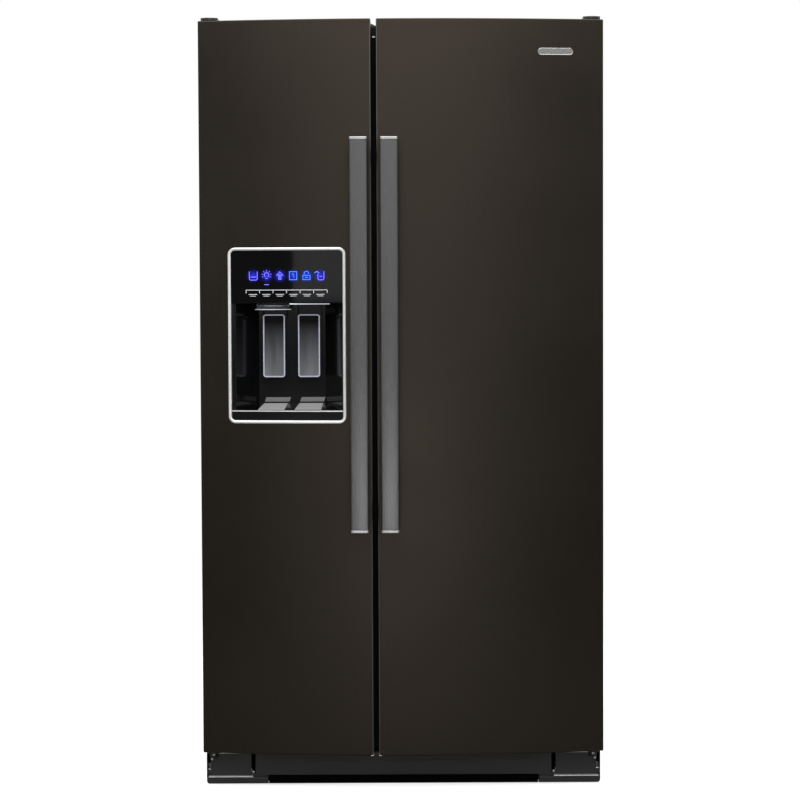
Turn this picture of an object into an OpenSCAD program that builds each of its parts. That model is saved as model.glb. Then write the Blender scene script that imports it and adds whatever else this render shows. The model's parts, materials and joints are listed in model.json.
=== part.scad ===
// Side by side refrigerator with an ice and water dispenser in the freezer door.
// X runs to the right, the doors face -Y, Z is up, and the origin is on the floor under the middle.

/* [Overall] */
// Width across both doors
overall_w = 911; // [860:1:1100]
// Height to the top of the hinge covers
overall_h = 1745; // [1690:1:2100]
// Depth from the back panel to the face of the handles
overall_d = 857; // [800:1:1030]

/* [Doors] */
// Width of the freezer door
freezer_door_w = 388.5; // [370:0.5:470]
// Gap between the two doors
centre_gap = 12; // [10:1:16]
// Thickness of a door at its outer edge
door_edge_t = 52; // [44:1:63]
// How far the bow across both doors stands out in the middle
door_bow = 38; // [32:1:46]
// Space between the doors and the cabinet that the gaskets fill
door_gap = 12; // [10:1:15]
// Height of the door bottoms above the floor
door_floor_gap = 80; // [78:1:84]
// How far the hinge covers rise above the doors
hinge_rise = 8; // [7:0.5:10]
// Thickness of a door's steel skin
skin_t = 1; // [0.8:0.1:1.5]
// Thickness of a door's plastic liner
door_liner_t = 2.5; // [2:0.5:3]
// Thickness of the end caps
cap_t = 12; // [10:1:16]
// Height of the bright end piece on a handle
handle_end_h = 6.5; // [4:0.5:9]
// Width of a handle's bar
handle_w = 40; // [32:1:48]
// Thickness of a handle's bar
handle_t = 14; // [10:1:18]
// Length of a handle with its end pieces
handle_len = 879; // [700:1:1050]
// Distance from the door tops down to the handles
handle_drop = 266; // [220:1:320]
// Distance of a handle from its door's inner edge
handle_in = 8; // [6:1:14]
// How far the handles' faces stand in front of the bow
handle_stand = 55; // [46:1:66]

/* [Hinges] */
// Distance of the hinge pins from the doors' outer edges
pin_in = 22; // [20:1:26]
// Distance of the hinge pins in front of the doors' backs
pin_ahead = 26; // [22:1:28]
// Radius of the hinge pins
pin_r = 5; // [4:0.5:6]
// Radial clearance of a pin or shaft in its hole
run_clear = 0.05; // [0.02:0.01:0.1]
// Thickness of the hinge plates
hinge_t = 4; // [3:0.5:5]

/* [Dispenser] */
// Distance of the dispenser's middle from the door's outer edge
disp_in = 197.5; // [180:0.5:210]
// Width of the surround
disp_w = 266; // [240:1:290]
// Height of the surround
disp_h = 396; // [370:1:420]
// Height of the surround's lower edge
disp_z = 832; // [800:1:900]
// Width of the surround's bright frame
bezel_w = 7; // [5:0.5:10]
// Height of the control panel
panel_h = 119; // [100:1:130]
// Depth of the recess behind the door's face
recess_d = 115; // [95:1:120]
// Width of the recess at its back
recess_back_w = 153; // [140:1:190]
// How far the recess's back and the paddles stand to the right of the dispenser's middle
recess_shift = 6; // [0:1:8]
// Wall of the housing
housing_t = 2.5; // [2:0.5:3]
// Width of a paddle
paddle_w = 50; // [40:1:56]
// Height of a paddle
paddle_h = 144; // [120:1:160]
// Thickness of a paddle
paddle_t = 6; // [4:0.5:8]
// Distance of the paddles' tops below the control panel
paddle_drop = 26; // [24:1:46]
// Distance between the middles of the paddles
paddle_pitch = 80; // [70:1:84]
// Width of the ice chute
chute_w = 66; // [56:1:72]
// Height of the drip tray
tray_h = 18; // [14:1:24]

/* [Cabinet] */
// How far the cabinet's sides stand in from the doors' outer edges
side_in = 3; // [1:0.5:6]
// Thickness of the painted sheet steel
sheet_t = 1.5; // [1:0.1:2]
// How far the cabinet's top lies below the door tops
top_drop = 7; // [5:0.5:9]
// Thickness of the insulated sides and top
wall_t = 50; // [44:1:60]
// Thickness of the insulated back
back_t = 50; // [44:1:60]
// Width of the wall between the compartments
mullion_w = 50; // [44:1:60]
// Thickness of the compartments' plastic liners
liner_t = 2; // [1.5:0.5:3]
// Height of the compartments' floors
floor_z = 112; // [108:1:120]
// Height of the underside of the insulation
foam_z = 62; // [58:1:70]
// Depth of the machine compartment
machine_d = 230; // [210:1:250]
// Height of the machine compartment's ceiling
machine_z = 290; // [270:1:310]

/* [Base] */
// Height of the base pan's underside
pan_z = 26; // [25:1:30]
// Thickness of the base pan
pan_t = 2; // [1.5:0.5:3]
// Radius of the rollers
roller_r = 22; // [20:1:24]
// Width of a roller
roller_w = 16; // [14:1:22]
// Radius of the rollers' axles
axle_r = 4; // [3:0.5:5]
// Distance of the rollers from the cabinet's middle
roller_x = 380; // [370:1:400]
// Radius of a levelling leg's threaded stem
leg_r = 5; // [4:0.5:6]
// Radius of a levelling leg's foot
leg_foot_r = 16; // [12:1:20]
// Half width of the grille's middle panel
grille_half_w = 340; // [300:1:346]
// Width of the slots beside the middle panel
grille_slot_w = 9; // [6:1:12]
// Thickness of the grille
grille_t = 3; // [2.5:0.5:4]
// Height of the ledges at the grille's ends
ledge_z = 14; // [12:1:18]
// Depth of those ledges
ledge_d = 13; // [10:1:18]

/* [Inside] */
// How far the door bins reach behind the doors' backs
bin_reach = 104; // [90:1:104]
// How far the ribs on the door liners reach
rib_reach = 60; // [50:1:64]
// Space from the mullion to the bins, which the swing of the doors needs
free_clear = 34; // [34:1:40]
// Space from the outer walls to the bins
hinge_clear = 12; // [8:1:16]
// Distance of shelves and drawers behind the bins
inner_gap = 35; // [35:1:45]
// Wall of the bins and drawers
bin_t = 3; // [2.5:0.5:4]
// Space on each side of a drawer
drawer_clear = 10; // [9:0.5:12]
// How far the drawers slide out
drawer_travel = 250; // [150:10:250]
// Thickness of a glass shelf
glass_t = 5; // [4:0.5:6]
// Number of glass shelves above the crispers
glass_shelves = 3; // [1:1:4]
// Number of wire shelves above the basket
wire_shelves = 3; // [1:1:4]
// Number of bins on the fridge door below the dairy compartment
fridge_bins = 4; // [2:1:5]
// Height of a door bin
bin_h = 105; // [80:1:130]
// Depth of the duct behind the evaporator cover
evap_d = 75; // [65:1:85]

/* [Hidden] */
$fn = 96;

steel_grey = "#3a3836";
door_dark = "#37312b";
plastic_white = "#e8eaea";
foam_cream = "#e6d9ae";

// Planes of the doors and the cabinet, from the front to the back.
face_y = -overall_d / 2;
back_y = overall_d / 2;
apex_y = face_y + handle_stand;
edge_y = apex_y + door_bow;
door_back_y = edge_y + door_edge_t;
cab_y = door_back_y + door_gap;
half_w = overall_w / 2;
bow_r = (half_w * half_w + door_bow * door_bow) / (2 * door_bow);
bow_y = apex_y + bow_r;

// Doors.
door_top = overall_h - hinge_rise;
split_x = -half_w + freezer_door_w + centre_gap / 2;
freezer_x = [-half_w, split_x - centre_gap / 2];
fridge_x = [split_x + centre_gap / 2, half_w];
door_z = [door_floor_gap, door_top];
core_z = [door_floor_gap + cap_t, door_top - cap_t];
pin_x = half_w - pin_in;
pin_y = door_back_y - pin_ahead;

// Cabinet and its compartments.
cab_half = half_w - side_in;
cab_top = door_top - top_drop;
room_top = cab_top - wall_t;
room_y = back_y - back_t;
freezer_room_x = [-cab_half + wall_t, split_x - mullion_w / 2];
fridge_room_x = [split_x + mullion_w / 2, cab_half - wall_t];
machine_y = back_y - machine_d;
hump_y = machine_y - back_t;
hump_z = machine_z + back_t;
frame_z = foam_z - 22;

// The gaskets stay inboard of the hinge pins, so that they swing clear of the front frame.
gasket_hinge_in = pin_in + 4;
gasket_free_in = 8;

// What the doors carry inside.
freezer_ribs_x = [freezer_room_x[0] + hinge_clear, freezer_room_x[1] - free_clear];
fridge_ribs_x = [fridge_room_x[0] + free_clear, fridge_room_x[1] - hinge_clear];
rib_w = 26;
rib_z = [floor_z + 14, room_top - 14];
bin_y = door_back_y + bin_reach;
inner_y = bin_y + inner_gap;

// Dispenser.
disp_x = -half_w + disp_in;
disp_top = disp_z + disp_h;
open_x = [disp_x - disp_w / 2 + bezel_w, disp_x + disp_w / 2 - bezel_w];
open_z = [disp_z + bezel_w, disp_top - bezel_w];
panel_z = open_z[1] - panel_h;
disp_face_y = bow_y - sqrt(bow_r * bow_r - disp_x * disp_x);
recess_y = disp_face_y + recess_d;
bulge_y = recess_y + 22;
bulge_over = 20;
bulge_z = [disp_z - bulge_over, disp_top + bulge_over];
recess_mid_x = disp_x + recess_shift;
recess_straight = 14;
bezel_r = 16;
bezel_proud = 2.5;
bezel_sleeve = 9;
open_r = 9;
hole_over = 4;
hole_x = [open_x[0] - hole_over, open_x[1] + hole_over];
hole_z = [open_z[0] - hole_over, open_z[1] + hole_over];
hole_r = 4.5;
pocket_d = 26;
panel_t = 12;
panel_gap = 0.2;
housing_floor_t = 3;
tray_z = [open_z[0] + housing_floor_t, open_z[0] + housing_floor_t + tray_h];
paddle_x = [recess_mid_x - paddle_pitch / 2, recess_mid_x + paddle_pitch / 2];
paddle_y = recess_y - 30;
paddle_top_z = panel_z - paddle_drop;
paddle_pivot_z = paddle_top_z - 6;
paddle_pin_r = 2;
ear_t = 3;
ear_gap = 0.5;
chute_d = 46;
chute_t = 2;
chute_top = [door_back_y + 6, bulge_z[1]];
chute_foot = [disp_face_y + 26, panel_z - 12];
chute_lean = (chute_top[0] - chute_foot[0]) / (chute_top[1] - chute_foot[1]);
ice_bin_z = [bulge_z[1], room_top - 196];

// Handles.
handle_z = [door_top - handle_drop - handle_len, door_top - handle_drop];
freezer_handle_x = [freezer_x[1] - handle_in - handle_w, freezer_x[1] - handle_in];
fridge_handle_x = [fridge_x[0] + handle_in, fridge_x[0] + handle_in + handle_w];

// Door bins and the dairy compartment with its flap.
low_bin_z = rib_z[0] + 10;
freezer_bins = 3;
freezer_bin_z = [for (i = [0 : freezer_bins - 1]) low_bin_z + i * (bulge_z[0] - low_bin_z) / freezer_bins];
dairy_h = 130;
dairy_z = rib_z[1] - dairy_h - 20;
fridge_bin_z = [for (i = [0 : fridge_bins - 1]) low_bin_z + i * (dairy_z - low_bin_z) / fridge_bins];
flap_t = 3;
flap_pin_r = 3;
flap_y = bin_y - 10;
flap_z = dairy_z + dairy_h - 8;

// Drawers and shelves.
ledge_w = 20;
ledge_h = 8;
slide_gap = 0.5;
crisper_z = [[floor_z + 12, floor_z + 216], [hump_z + 12, hump_z + 186]];
basket_z = [floor_z + 12, floor_z + 196];
crisper_roof_z = crisper_z[1][1] + 10;
shelf_top_z = room_top - 190;
fridge_shelf_z = [for (i = [0 : glass_shelves])
    crisper_roof_z + (shelf_top_z - crisper_roof_z) * i / glass_shelves];
wire_low_z = hump_z + 14;
wire_high_z = room_top - 240;
freezer_shelf_z = [for (i = [0 : wire_shelves - 1])
    wire_low_z + i * (wire_high_z - wire_low_z) / max(1, wire_shelves - 1)];
evap_y = room_y - evap_d;
shelf_back_gap = 6;
maker_z = [room_top - 150, room_top - 30];

// Base.
pan_top = pan_z + pan_t;
grille_y = cab_y - 28;
grille_z = [18, door_floor_gap - 8];
foot_gap = 2;
front_axle_y = cab_y + 72;
rear_axle_y = back_y - 60;
roller_gap = 1;
bracket_t = 3;
leg_x = grille_half_w + grille_slot_w / 2;
leg_y = cab_y + 20;
leg_top = foam_z - 6;
top_plate_z = door_top + 1;
top_plate_t = 3;

// Machine compartment: water valve, access cover, cord gland, compressor, condenser and fans.
valve_x = -cab_half + 62;
valve_z = 100;
inlet_r = 5.55;
cover_y = back_y - 28;
cover_t = 2;
gland_x = cab_half - 52;
gland_z = 96;
gland_r = 9;
gland_bore_r = 4.5;
comp_x = roller_x - 130;
comp_y = machine_y + 112;
comp_r = 76;
cond_x = [-290, -90];
cond_y = [machine_y + 24, machine_y + 174];
cond_z = [74, 244];
tube_r = 4;
fin_half_t = 0.6;
fan_c = [20, machine_y + 99, 160];
fan_r = 64;
fan_shaft_r = 3;
evap_fan = [(freezer_room_x[0] + freezer_room_x[1]) / 2, evap_y + 22, hump_z + 500];
evap_fan_r = 52;

module slab(x, y, z) {
    translate([x[0], y[0], z[0]]) cube([x[1] - x[0], y[1] - y[0], z[1] - z[0]]);
}

module both_sides() {
    children();
    mirror([1, 0, 0]) children();
}

module rod_x(r, x, y, z) {
    translate([x[0], y, z]) rotate([0, 90, 0]) cylinder(r = r, h = x[1] - x[0]);
}

module rod_y(r, x, y, z) {
    translate([x, y[1], z]) rotate([90, 0, 0]) cylinder(r = r, h = y[1] - y[0]);
}

module rod_z(r, x, y, z) {
    translate([x, y, z[0]]) cylinder(r = r, h = z[1] - z[0]);
}

// The part of a vertical slab behind the bowed face, moved back by inset.
module behind_bow(x, y_back, z, inset) {
    translate([0, 0, z[0]]) linear_extrude(height = z[1] - z[0]) intersection() {
        translate([0, bow_y]) circle(r = bow_r - inset, $fn = 720);
        translate([x[0], face_y - 20]) square([x[1] - x[0], y_back - face_y + 20]);
    }
}

// A layer that follows the bowed face, from proud in front of it to depth behind it.
module bow_layer(x, z, proud, depth) {
    translate([0, 0, z[0]]) linear_extrude(height = z[1] - z[0]) difference() {
        intersection() {
            translate([0, bow_y]) circle(r = bow_r + proud, $fn = 720);
            translate([x[0], face_y - 20]) square([x[1] - x[0], door_back_y - face_y + 20]);
        }
        translate([0, bow_y]) circle(r = bow_r - depth, $fn = 720);
    }
}

// An upright outline with round corners, extruded from front to back.
module round_block(x, y, z, r) {
    translate([0, y[1], 0]) rotate([90, 0, 0]) linear_extrude(height = y[1] - y[0]) {
        translate([x[0] + r, z[0]]) square([x[1] - x[0] - 2 * r, z[1] - z[0]]);
        translate([x[0], z[0] + r]) square([x[1] - x[0], z[1] - z[0] - 2 * r]);
        for (cx = [x[0] + r, x[1] - r], cz = [z[0] + r, z[1] - r])
            translate([cx, cz]) circle(r = r);
    }
}

module open_box(x, y, z, t) {
    difference() {
        slab(x, y, z);
        slab([x[0] + t, x[1] - t], [y[0] + t, y[1] - t], [z[0] + t, z[1] + 1]);
    }
}

// The inside of a compartment, grown by g, with its step over the machine compartment.
module room(x, y_front, g) {
    difference() {
        slab([x[0] - g, x[1] + g], [y_front, room_y + g], [floor_z - g, room_top + g]);
        slab([x[0] - g - 1, x[1] + g + 1], [hump_y + g, room_y + g + 1], [floor_z - g - 1, hump_z - g]);
    }
}

// ---- Cabinet ----

module cabinet_wrapper() {
    color(steel_grey) difference() {
        slab([-cab_half, cab_half], [cab_y + sheet_t, back_y - sheet_t], [pan_z, cab_top]);
        slab([-cab_half + sheet_t, cab_half - sheet_t], [cab_y, back_y], [pan_z - 1, cab_top - sheet_t]);
    }
}

module cabinet_back() {
    bead_w = 8;
    bead_pitch = 60;
    color("#8d9091") difference() {
        slab([-cab_half, cab_half], [back_y - sheet_t, back_y], [machine_z, cab_top]);
        for (x = [-cab_half + bead_pitch : bead_pitch : cab_half - bead_pitch])
            slab([x - bead_w / 2, x + bead_w / 2], [back_y - sheet_t / 2, back_y + 1],
                 [machine_z + 60, cab_top - 60]);
    }
}

module rear_access_cover() {
    slot_w = 5;
    slot_pitch = 14;
    slots_half_w = 300;
    slot_z = 90;
    slot_h = 42;
    row_pitch = 62;
    color("#6f7375") difference() {
        slab([-cab_half + sheet_t, cab_half - sheet_t], [cover_y, cover_y + cover_t], [pan_top, machine_z]);
        for (row = [0 : 2], x = [-slots_half_w : slot_pitch : slots_half_w])
            slab([x - slot_w / 2, x + slot_w / 2], [cover_y - 1, cover_y + cover_t + 1],
                 [slot_z + row * row_pitch, slot_z + slot_h + row * row_pitch]);
        rod_y(inlet_r + 6, valve_x, [cover_y - 1, cover_y + cover_t + 1], valve_z);
        rod_y(gland_r + 0.3, gland_x, [cover_y - 1, cover_y + cover_t + 1], gland_z);
    }
}

module cabinet_foam() {
    color(foam_cream) difference() {
        slab([-cab_half + sheet_t, cab_half - sheet_t], [cab_y + sheet_t, back_y - sheet_t],
             [foam_z, cab_top - sheet_t]);
        room(freezer_room_x, cab_y - 1, liner_t);
        room(fridge_room_x, cab_y - 1, liner_t);
        slab([-cab_half, cab_half], [machine_y, back_y], [foam_z - 1, machine_z]);
    }
}

module front_frame() {
    color(steel_grey) difference() {
        slab([-cab_half, cab_half], [cab_y, cab_y + sheet_t], [frame_z, cab_top]);
        for (x = [freezer_room_x, fridge_room_x])
            slab([x[0] - liner_t, x[1] + liner_t], [cab_y - 1, cab_y + sheet_t + 1],
                 [floor_z - liner_t, room_top + liner_t]);
    }
}

module ledge_pair(x, y, z) {
    slab([x[0] - liner_t / 2, x[0] + ledge_w], y, [z - ledge_h, z]);
    slab([x[1] - ledge_w, x[1] + liner_t / 2], y, [z - ledge_h, z]);
}

module liner(x) {
    difference() {
        room(x, cab_y, liner_t);
        room(x, cab_y - 1, 0);
    }
}

module freezer_liner() {
    color(plastic_white) {
        liner(freezer_room_x);
        ledge_pair(freezer_room_x, [inner_y, hump_y - 4], basket_z[0] - slide_gap);
        for (z = freezer_shelf_z)
            ledge_pair(freezer_room_x, [inner_y + 10, evap_y - shelf_back_gap], z);
    }
}

module fridge_liner() {
    color(plastic_white) {
        liner(fridge_room_x);
        ledge_pair(fridge_room_x, [inner_y, hump_y - 4], crisper_z[0][0] - slide_gap);
        ledge_pair(fridge_room_x, [inner_y, room_y - 20], crisper_z[1][0] - slide_gap);
        for (z = fridge_shelf_z)
            ledge_pair(fridge_room_x, [inner_y + 10, room_y - 20], z);
    }
}

// ---- Base ----

module roller_window(x, y) {
    half = roller_w / 2 + roller_gap;
    slab([x - half, x + half], [y - roller_r - 4, y + roller_r + 4],
         [pan_z - 1, pan_top + 1]);
}

module base_pan() {
    air_half_w = 300;
    air_z = [34, 54];
    color("#9a9c9d") difference() {
        union() {
            slab([-cab_half + sheet_t, cab_half - sheet_t], [cab_y + sheet_t, back_y - sheet_t],
                 [pan_z, pan_top]);
            slab([-cab_half + sheet_t, cab_half - sheet_t], [cab_y + sheet_t, cab_y + sheet_t + 3],
                 [pan_top, foam_z]);
        }
        both_sides() {
            roller_window(roller_x, front_axle_y);
            roller_window(roller_x, rear_axle_y);
            rod_z(leg_r + 2, leg_x, leg_y, [pan_z - 1, pan_top + 1]);
        }
        slab([-air_half_w, air_half_w], [cab_y, cab_y + 6], air_z);
    }
}

module base_grille() {
    out_x = cab_half - 2;
    slot_x = grille_half_w + grille_slot_w;
    boot_x = grille_half_w - 27;
    boot_top = ledge_z - 2;
    rib_pitch = 9;
    color("#26272a") {
        difference() {
            slab([-grille_half_w, grille_half_w], [grille_y, grille_y + grille_t], grille_z);
            for (z = [34 : rib_pitch : grille_z[1] - 12])
                slab([-grille_half_w + 20, grille_half_w - 20], [grille_y - 1, grille_y + 1], [z, z + 2]);
        }
        // Returns to the cabinet behind the middle panel.
        for (x = [-200, 200])
            slab([x - 2, x + 2], [grille_y + grille_t, cab_y], [frame_z, grille_z[1] - 6]);
        both_sides() {
            slab([slot_x, out_x - 8], [grille_y + 2, grille_y + 2 + grille_t], [boot_top, grille_z[1] - 2]);
            slab([boot_x, out_x], [grille_y + 2 - ledge_d, grille_y + 2 + grille_t], [foot_gap, boot_top]);
            slab([boot_x, slot_x], [grille_y, grille_y + grille_t + 2], [boot_top, grille_z[0]]);
            slab([grille_half_w - 4, slot_x], [grille_y, grille_y + grille_t + 2], [grille_z[0], grille_z[0] + 4]);
        }
    }
}

module bottom_hinges() {
    plate_z = door_floor_gap - 2;
    neck = 16;
    knuckle_r = 9;
    knuckle_h = 12;
    color("#b9bbbd") both_sides() {
        slab([grille_half_w + 2, pin_x + 8], [cab_y - 6, cab_y], [plate_z - hinge_t, plate_z]);
        slab([grille_half_w + 2, pin_x + 8], [cab_y - 3, cab_y], [frame_z + 4, plate_z - hinge_t]);
        slab([pin_x - neck, pin_x + 8], [pin_y, cab_y - 6], [plate_z - hinge_t, plate_z]);
        rod_z(neck, pin_x, pin_y, [plate_z - hinge_t, plate_z]);
        rod_z(pin_r + 4, pin_x, pin_y, [plate_z, door_floor_gap - 0.4]);
        rod_z(pin_r, pin_x, pin_y, [door_floor_gap - 1, door_floor_gap + cap_t - 1.5]);
        rod_z(knuckle_r, pin_x, pin_y, [plate_z - hinge_t - knuckle_h, plate_z - hinge_t]);
    }
}

module top_hinges() {
    neck = 14;
    bolt_r = 5;
    bolt_h = 3;
    color("#b9bbbd") both_sides() {
        slab([pin_x - 46, pin_x + 10], [cab_y + 14, cab_y + 74], [cab_top, cab_top + hinge_t]);
        slab([pin_x - neck, pin_x + 10], [cab_y + 10, cab_y + 14], [cab_top, top_plate_z + top_plate_t]);
        slab([pin_x - neck, pin_x + 10], [pin_y, cab_y + 10], [top_plate_z, top_plate_z + top_plate_t]);
        rod_z(neck, pin_x, pin_y, [top_plate_z, top_plate_z + top_plate_t]);
        rod_z(pin_r, pin_x, pin_y, [door_top - cap_t + 1.5, top_plate_z + 1]);
        for (x = [pin_x - 36, pin_x - 8])
            rod_z(bolt_r, x, cab_y + 58, [cab_top + hinge_t, cab_top + hinge_t + bolt_h]);
    }
}

module hinge_covers() {
    wall = 2;
    gap = 1;
    color("#2c2c2e") both_sides() difference() {
        union() {
            slab([pin_x - 52, pin_x + 16], [cab_y + 2, cab_y + 84], [cab_top, overall_h]);
            slab([pin_x - 22, pin_x + 16], [pin_y - 16, cab_y + 2], [door_top + 1, overall_h]);
            rod_z(19, pin_x - 3, pin_y - 3, [door_top + 1, overall_h]);
        }
        slab([pin_x - 52 + wall, pin_x + 16 - wall], [cab_y + 2 + wall, cab_y + 84 - wall],
             [cab_top - 1, overall_h - wall]);
        slab([pin_x - 22 + wall, pin_x + 16 - wall], [pin_y - 10, cab_y + 5],
             [door_top, top_plate_z + top_plate_t + gap]);
        rod_z(15, pin_x, pin_y, [door_top, top_plate_z + top_plate_t + gap]);
    }
}

module bracket(x, y) {
    inner = roller_w / 2 + roller_gap;
    for (s = [-1, 1])
        translate([x + s * (inner + bracket_t / 2), 0, 0])
            slab([-bracket_t / 2, bracket_t / 2], [y - 20, y + 20], [roller_r - 9, pan_z]);
}

module roller_brackets() {
    reach = roller_w / 2 + roller_gap + bracket_t;
    color("#a7a9ab") difference() {
        union() {
            both_sides() {
                bracket(roller_x, front_axle_y);
                bracket(roller_x, rear_axle_y);
                rod_x(axle_r, [roller_x - reach - 2, roller_x + reach + 2], front_axle_y, roller_r);
                // Threaded plate that the levelling leg turns in.
                slab([leg_x - 16, leg_x + 16], [leg_y - 14, leg_y + 16], [pan_top, pan_top + 5]);
            }
        }
        both_sides() {
            rod_z(leg_r + run_clear, leg_x, leg_y, [pan_z, pan_top + 6]);
            rod_x(axle_r + run_clear, [roller_x - reach - 1, roller_x + reach + 1], rear_axle_y, roller_r);
        }
    }
}

module leveling_leg() {
    foot_h = 4;
    neck_h = 9;
    nut_r = 8;
    nut_h = 7;
    color("#b2b4b6") {
        rod_z(leg_foot_r, leg_x, leg_y, [0, foot_h]);
        rod_z(leg_foot_r - 5, leg_x, leg_y, [foot_h, neck_h]);
        rod_z(leg_r, leg_x, leg_y, [neck_h, leg_top]);
        rod_z(nut_r, leg_x, leg_y, [neck_h, neck_h + nut_h]);
    }
}

module leveling_leg_left() {
    mirror([1, 0, 0]) leveling_leg();
}

module leveling_leg_right() {
    leveling_leg();
}

module wheel(x, y, bore) {
    translate([x, y, roller_r]) rotate([0, 90, 0]) rotate_extrude() {
        polygon([[bore, -roller_w / 2], [roller_r - 2, -roller_w / 2], [roller_r, -roller_w / 2 + 2],
                 [roller_r, roller_w / 2 - 2], [roller_r - 2, roller_w / 2], [bore, roller_w / 2]]);
    }
}

module front_roller_left() {
    color("#202022") wheel(-roller_x, front_axle_y, axle_r + run_clear);
}

module front_roller_right() {
    color("#202022") wheel(roller_x, front_axle_y, axle_r + run_clear);
}

module rear_rollers() {
    reach = roller_w / 2 + roller_gap + bracket_t + 2;
    color("#202022") {
        rod_x(axle_r, [-roller_x - reach, roller_x + reach], rear_axle_y, roller_r);
        for (x = [-roller_x, roller_x]) wheel(x, rear_axle_y, axle_r - 1);
    }
}

// ---- Cooling ----

module compressor() {
    foot_z = pan_top + 12;
    color("#161618") {
        translate([comp_x, comp_y, foot_z]) rotate_extrude()
            polygon([[0, 0], [comp_r - 18, 0], [comp_r - 4, 10], [comp_r, 26], [comp_r, 86],
                     [comp_r + 3, 88], [comp_r + 3, 94], [comp_r, 96], [comp_r, 126],
                     [comp_r - 6, 148], [comp_r - 24, 166], [comp_r - 48, 174], [0, 176]]);
        slab([comp_x - 102, comp_x + 102], [comp_y - 58, comp_y + 58], [foot_z, foot_z + 4]);
        for (sx = [-1, 1], sy = [-1, 1])
            rod_z(11, comp_x + sx * 88, comp_y + sy * 44, [pan_top, foot_z]);
        slab([comp_x + comp_r - 8, comp_x + comp_r + 34], [comp_y - 26, comp_y + 26],
             [foot_z + 50, foot_z + 118]);
        rod_z(4, comp_x - 40, comp_y, [foot_z + 160, foot_z + 206]);
        rod_z(4, comp_x + 30, comp_y + 30, [foot_z + 150, foot_z + 196]);
    }
}

module condenser() {
    rows = 5;
    fins = 16;
    pitch = (cond_z[1] - cond_z[0]) / rows;
    color("#1c1c1e") {
        for (i = [0 : rows - 1], y = [cond_y[0] + 36, cond_y[1] - 36])
            rod_x(tube_r, [cond_x[0] - 16, cond_x[1] + 16], y, cond_z[0] + pitch * (i + 0.5));
        for (i = [0 : rows - 1], x = [cond_x[0] - 18, cond_x[1] + 14])
            slab([x, x + 4], [cond_y[0] + 30, cond_y[1] - 30],
                 [cond_z[0] + pitch * (i + 0.5) - 4, cond_z[0] + pitch * (i + 0.5) + 4]);
        for (i = [0 : fins - 1])
            translate([cond_x[0] + (cond_x[1] - cond_x[0]) * i / (fins - 1), 0, 0])
                slab([-fin_half_t, fin_half_t], cond_y, cond_z);
        for (x = cond_x) slab([x - 1, x + 1], [cond_y[0] + 10, cond_y[1] - 10], [pan_top, cond_z[0]]);
    }
}

module fan_motor() {
    ring_x = [fan_c[0] - 24, fan_c[0] - 20];
    motor_x = [fan_c[0] + 22, fan_c[0] + 56];
    color("#55585a") {
        difference() {
            slab(ring_x, [fan_c[1] - 84, fan_c[1] + 84], [pan_top, fan_c[2] + 84]);
            rod_x(fan_r + 5, [ring_x[0] - 1, ring_x[1] + 1], fan_c[1], fan_c[2]);
        }
        for (s = [-1, 1])
            slab([ring_x[1], motor_x[1]], [fan_c[1] + s * 78 - 3, fan_c[1] + s * 78 + 3],
                 [fan_c[2] - 5, fan_c[2] + 5]);
        slab([motor_x[1] - 4, motor_x[1]], [fan_c[1] - 78, fan_c[1] + 78], [fan_c[2] - 5, fan_c[2] + 5]);
        rod_x(24, motor_x, fan_c[1], fan_c[2]);
        rod_x(fan_shaft_r, [fan_c[0] - 12, motor_x[0]], fan_c[1], fan_c[2]);
        // Motor of the fan in the freezer's duct, with its shaft.
        rod_y(22, evap_fan[0], [room_y - 34, room_y], evap_fan[2]);
        rod_y(fan_shaft_r, evap_fan[0], [evap_fan[1] - 8, room_y - 34], evap_fan[2]);
    }
}

module fan_blades(r, hub_r, depth, count) {
    difference() {
        union() {
            cylinder(r = hub_r, h = depth, center = true);
            for (i = [0 : count - 1]) rotate([0, 0, 360 * i / count])
                translate([(r + hub_r) / 2 - 1, 0, 0]) rotate([32, 0, 0])
                    cube([r - hub_r, 34 * r / fan_r, 2], center = true);
        }
        cylinder(r = fan_shaft_r + run_clear, h = depth + 2, center = true);
    }
}

module condenser_fan() {
    color("#3c3f42") translate(fan_c) rotate([0, 90, 0]) fan_blades(fan_r, 18, 20, 5);
}

module evaporator_fan() {
    color("#c9ccce") translate(evap_fan) rotate([90, 0, 0]) fan_blades(evap_fan_r, 16, 12, 5);
}

module drain_pan() {
    color("#3b3d40")
        open_box([cond_x[0] + 6, cond_x[1] - 6], [cond_y[0] + 4, cond_y[1] - 4], [pan_top, 60], 3);
}

module water_valve() {
    body_y = [cover_y - 62, cover_y - 8];
    color("#d9dadb") {
        slab([valve_x - 22, valve_x + 34], [body_y[0], body_y[1]], [valve_z - 16, valve_z + 16]);
        for (x = [valve_x - 6, valve_x + 20]) rod_z(12, x, body_y[0] + 20, [valve_z + 16, valve_z + 62]);
        rod_y(inlet_r, valve_x, [body_y[1] - 2, back_y - 6], valve_z);
        rod_y(10, valve_x, [body_y[1], cover_y + cover_t + 1], valve_z);
        slab([valve_x - 30, valve_x + 40], [body_y[0] + 1, body_y[0] + 4], [pan_top, valve_z - 16]);
    }
}

module power_cord_gland() {
    color("#141416") difference() {
        union() {
            rod_y(gland_r, gland_x, [cover_y - 10, cover_y + cover_t + 8], gland_z);
            rod_y(gland_r + 4, gland_x, [cover_y + cover_t, cover_y + cover_t + 4], gland_z);
            rod_y(gland_r + 4, gland_x, [cover_y - 6, cover_y], gland_z);
        }
        rod_y(gland_bore_r, gland_x, [cover_y - 11, cover_y + cover_t + 9], gland_z);
    }
}

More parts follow.
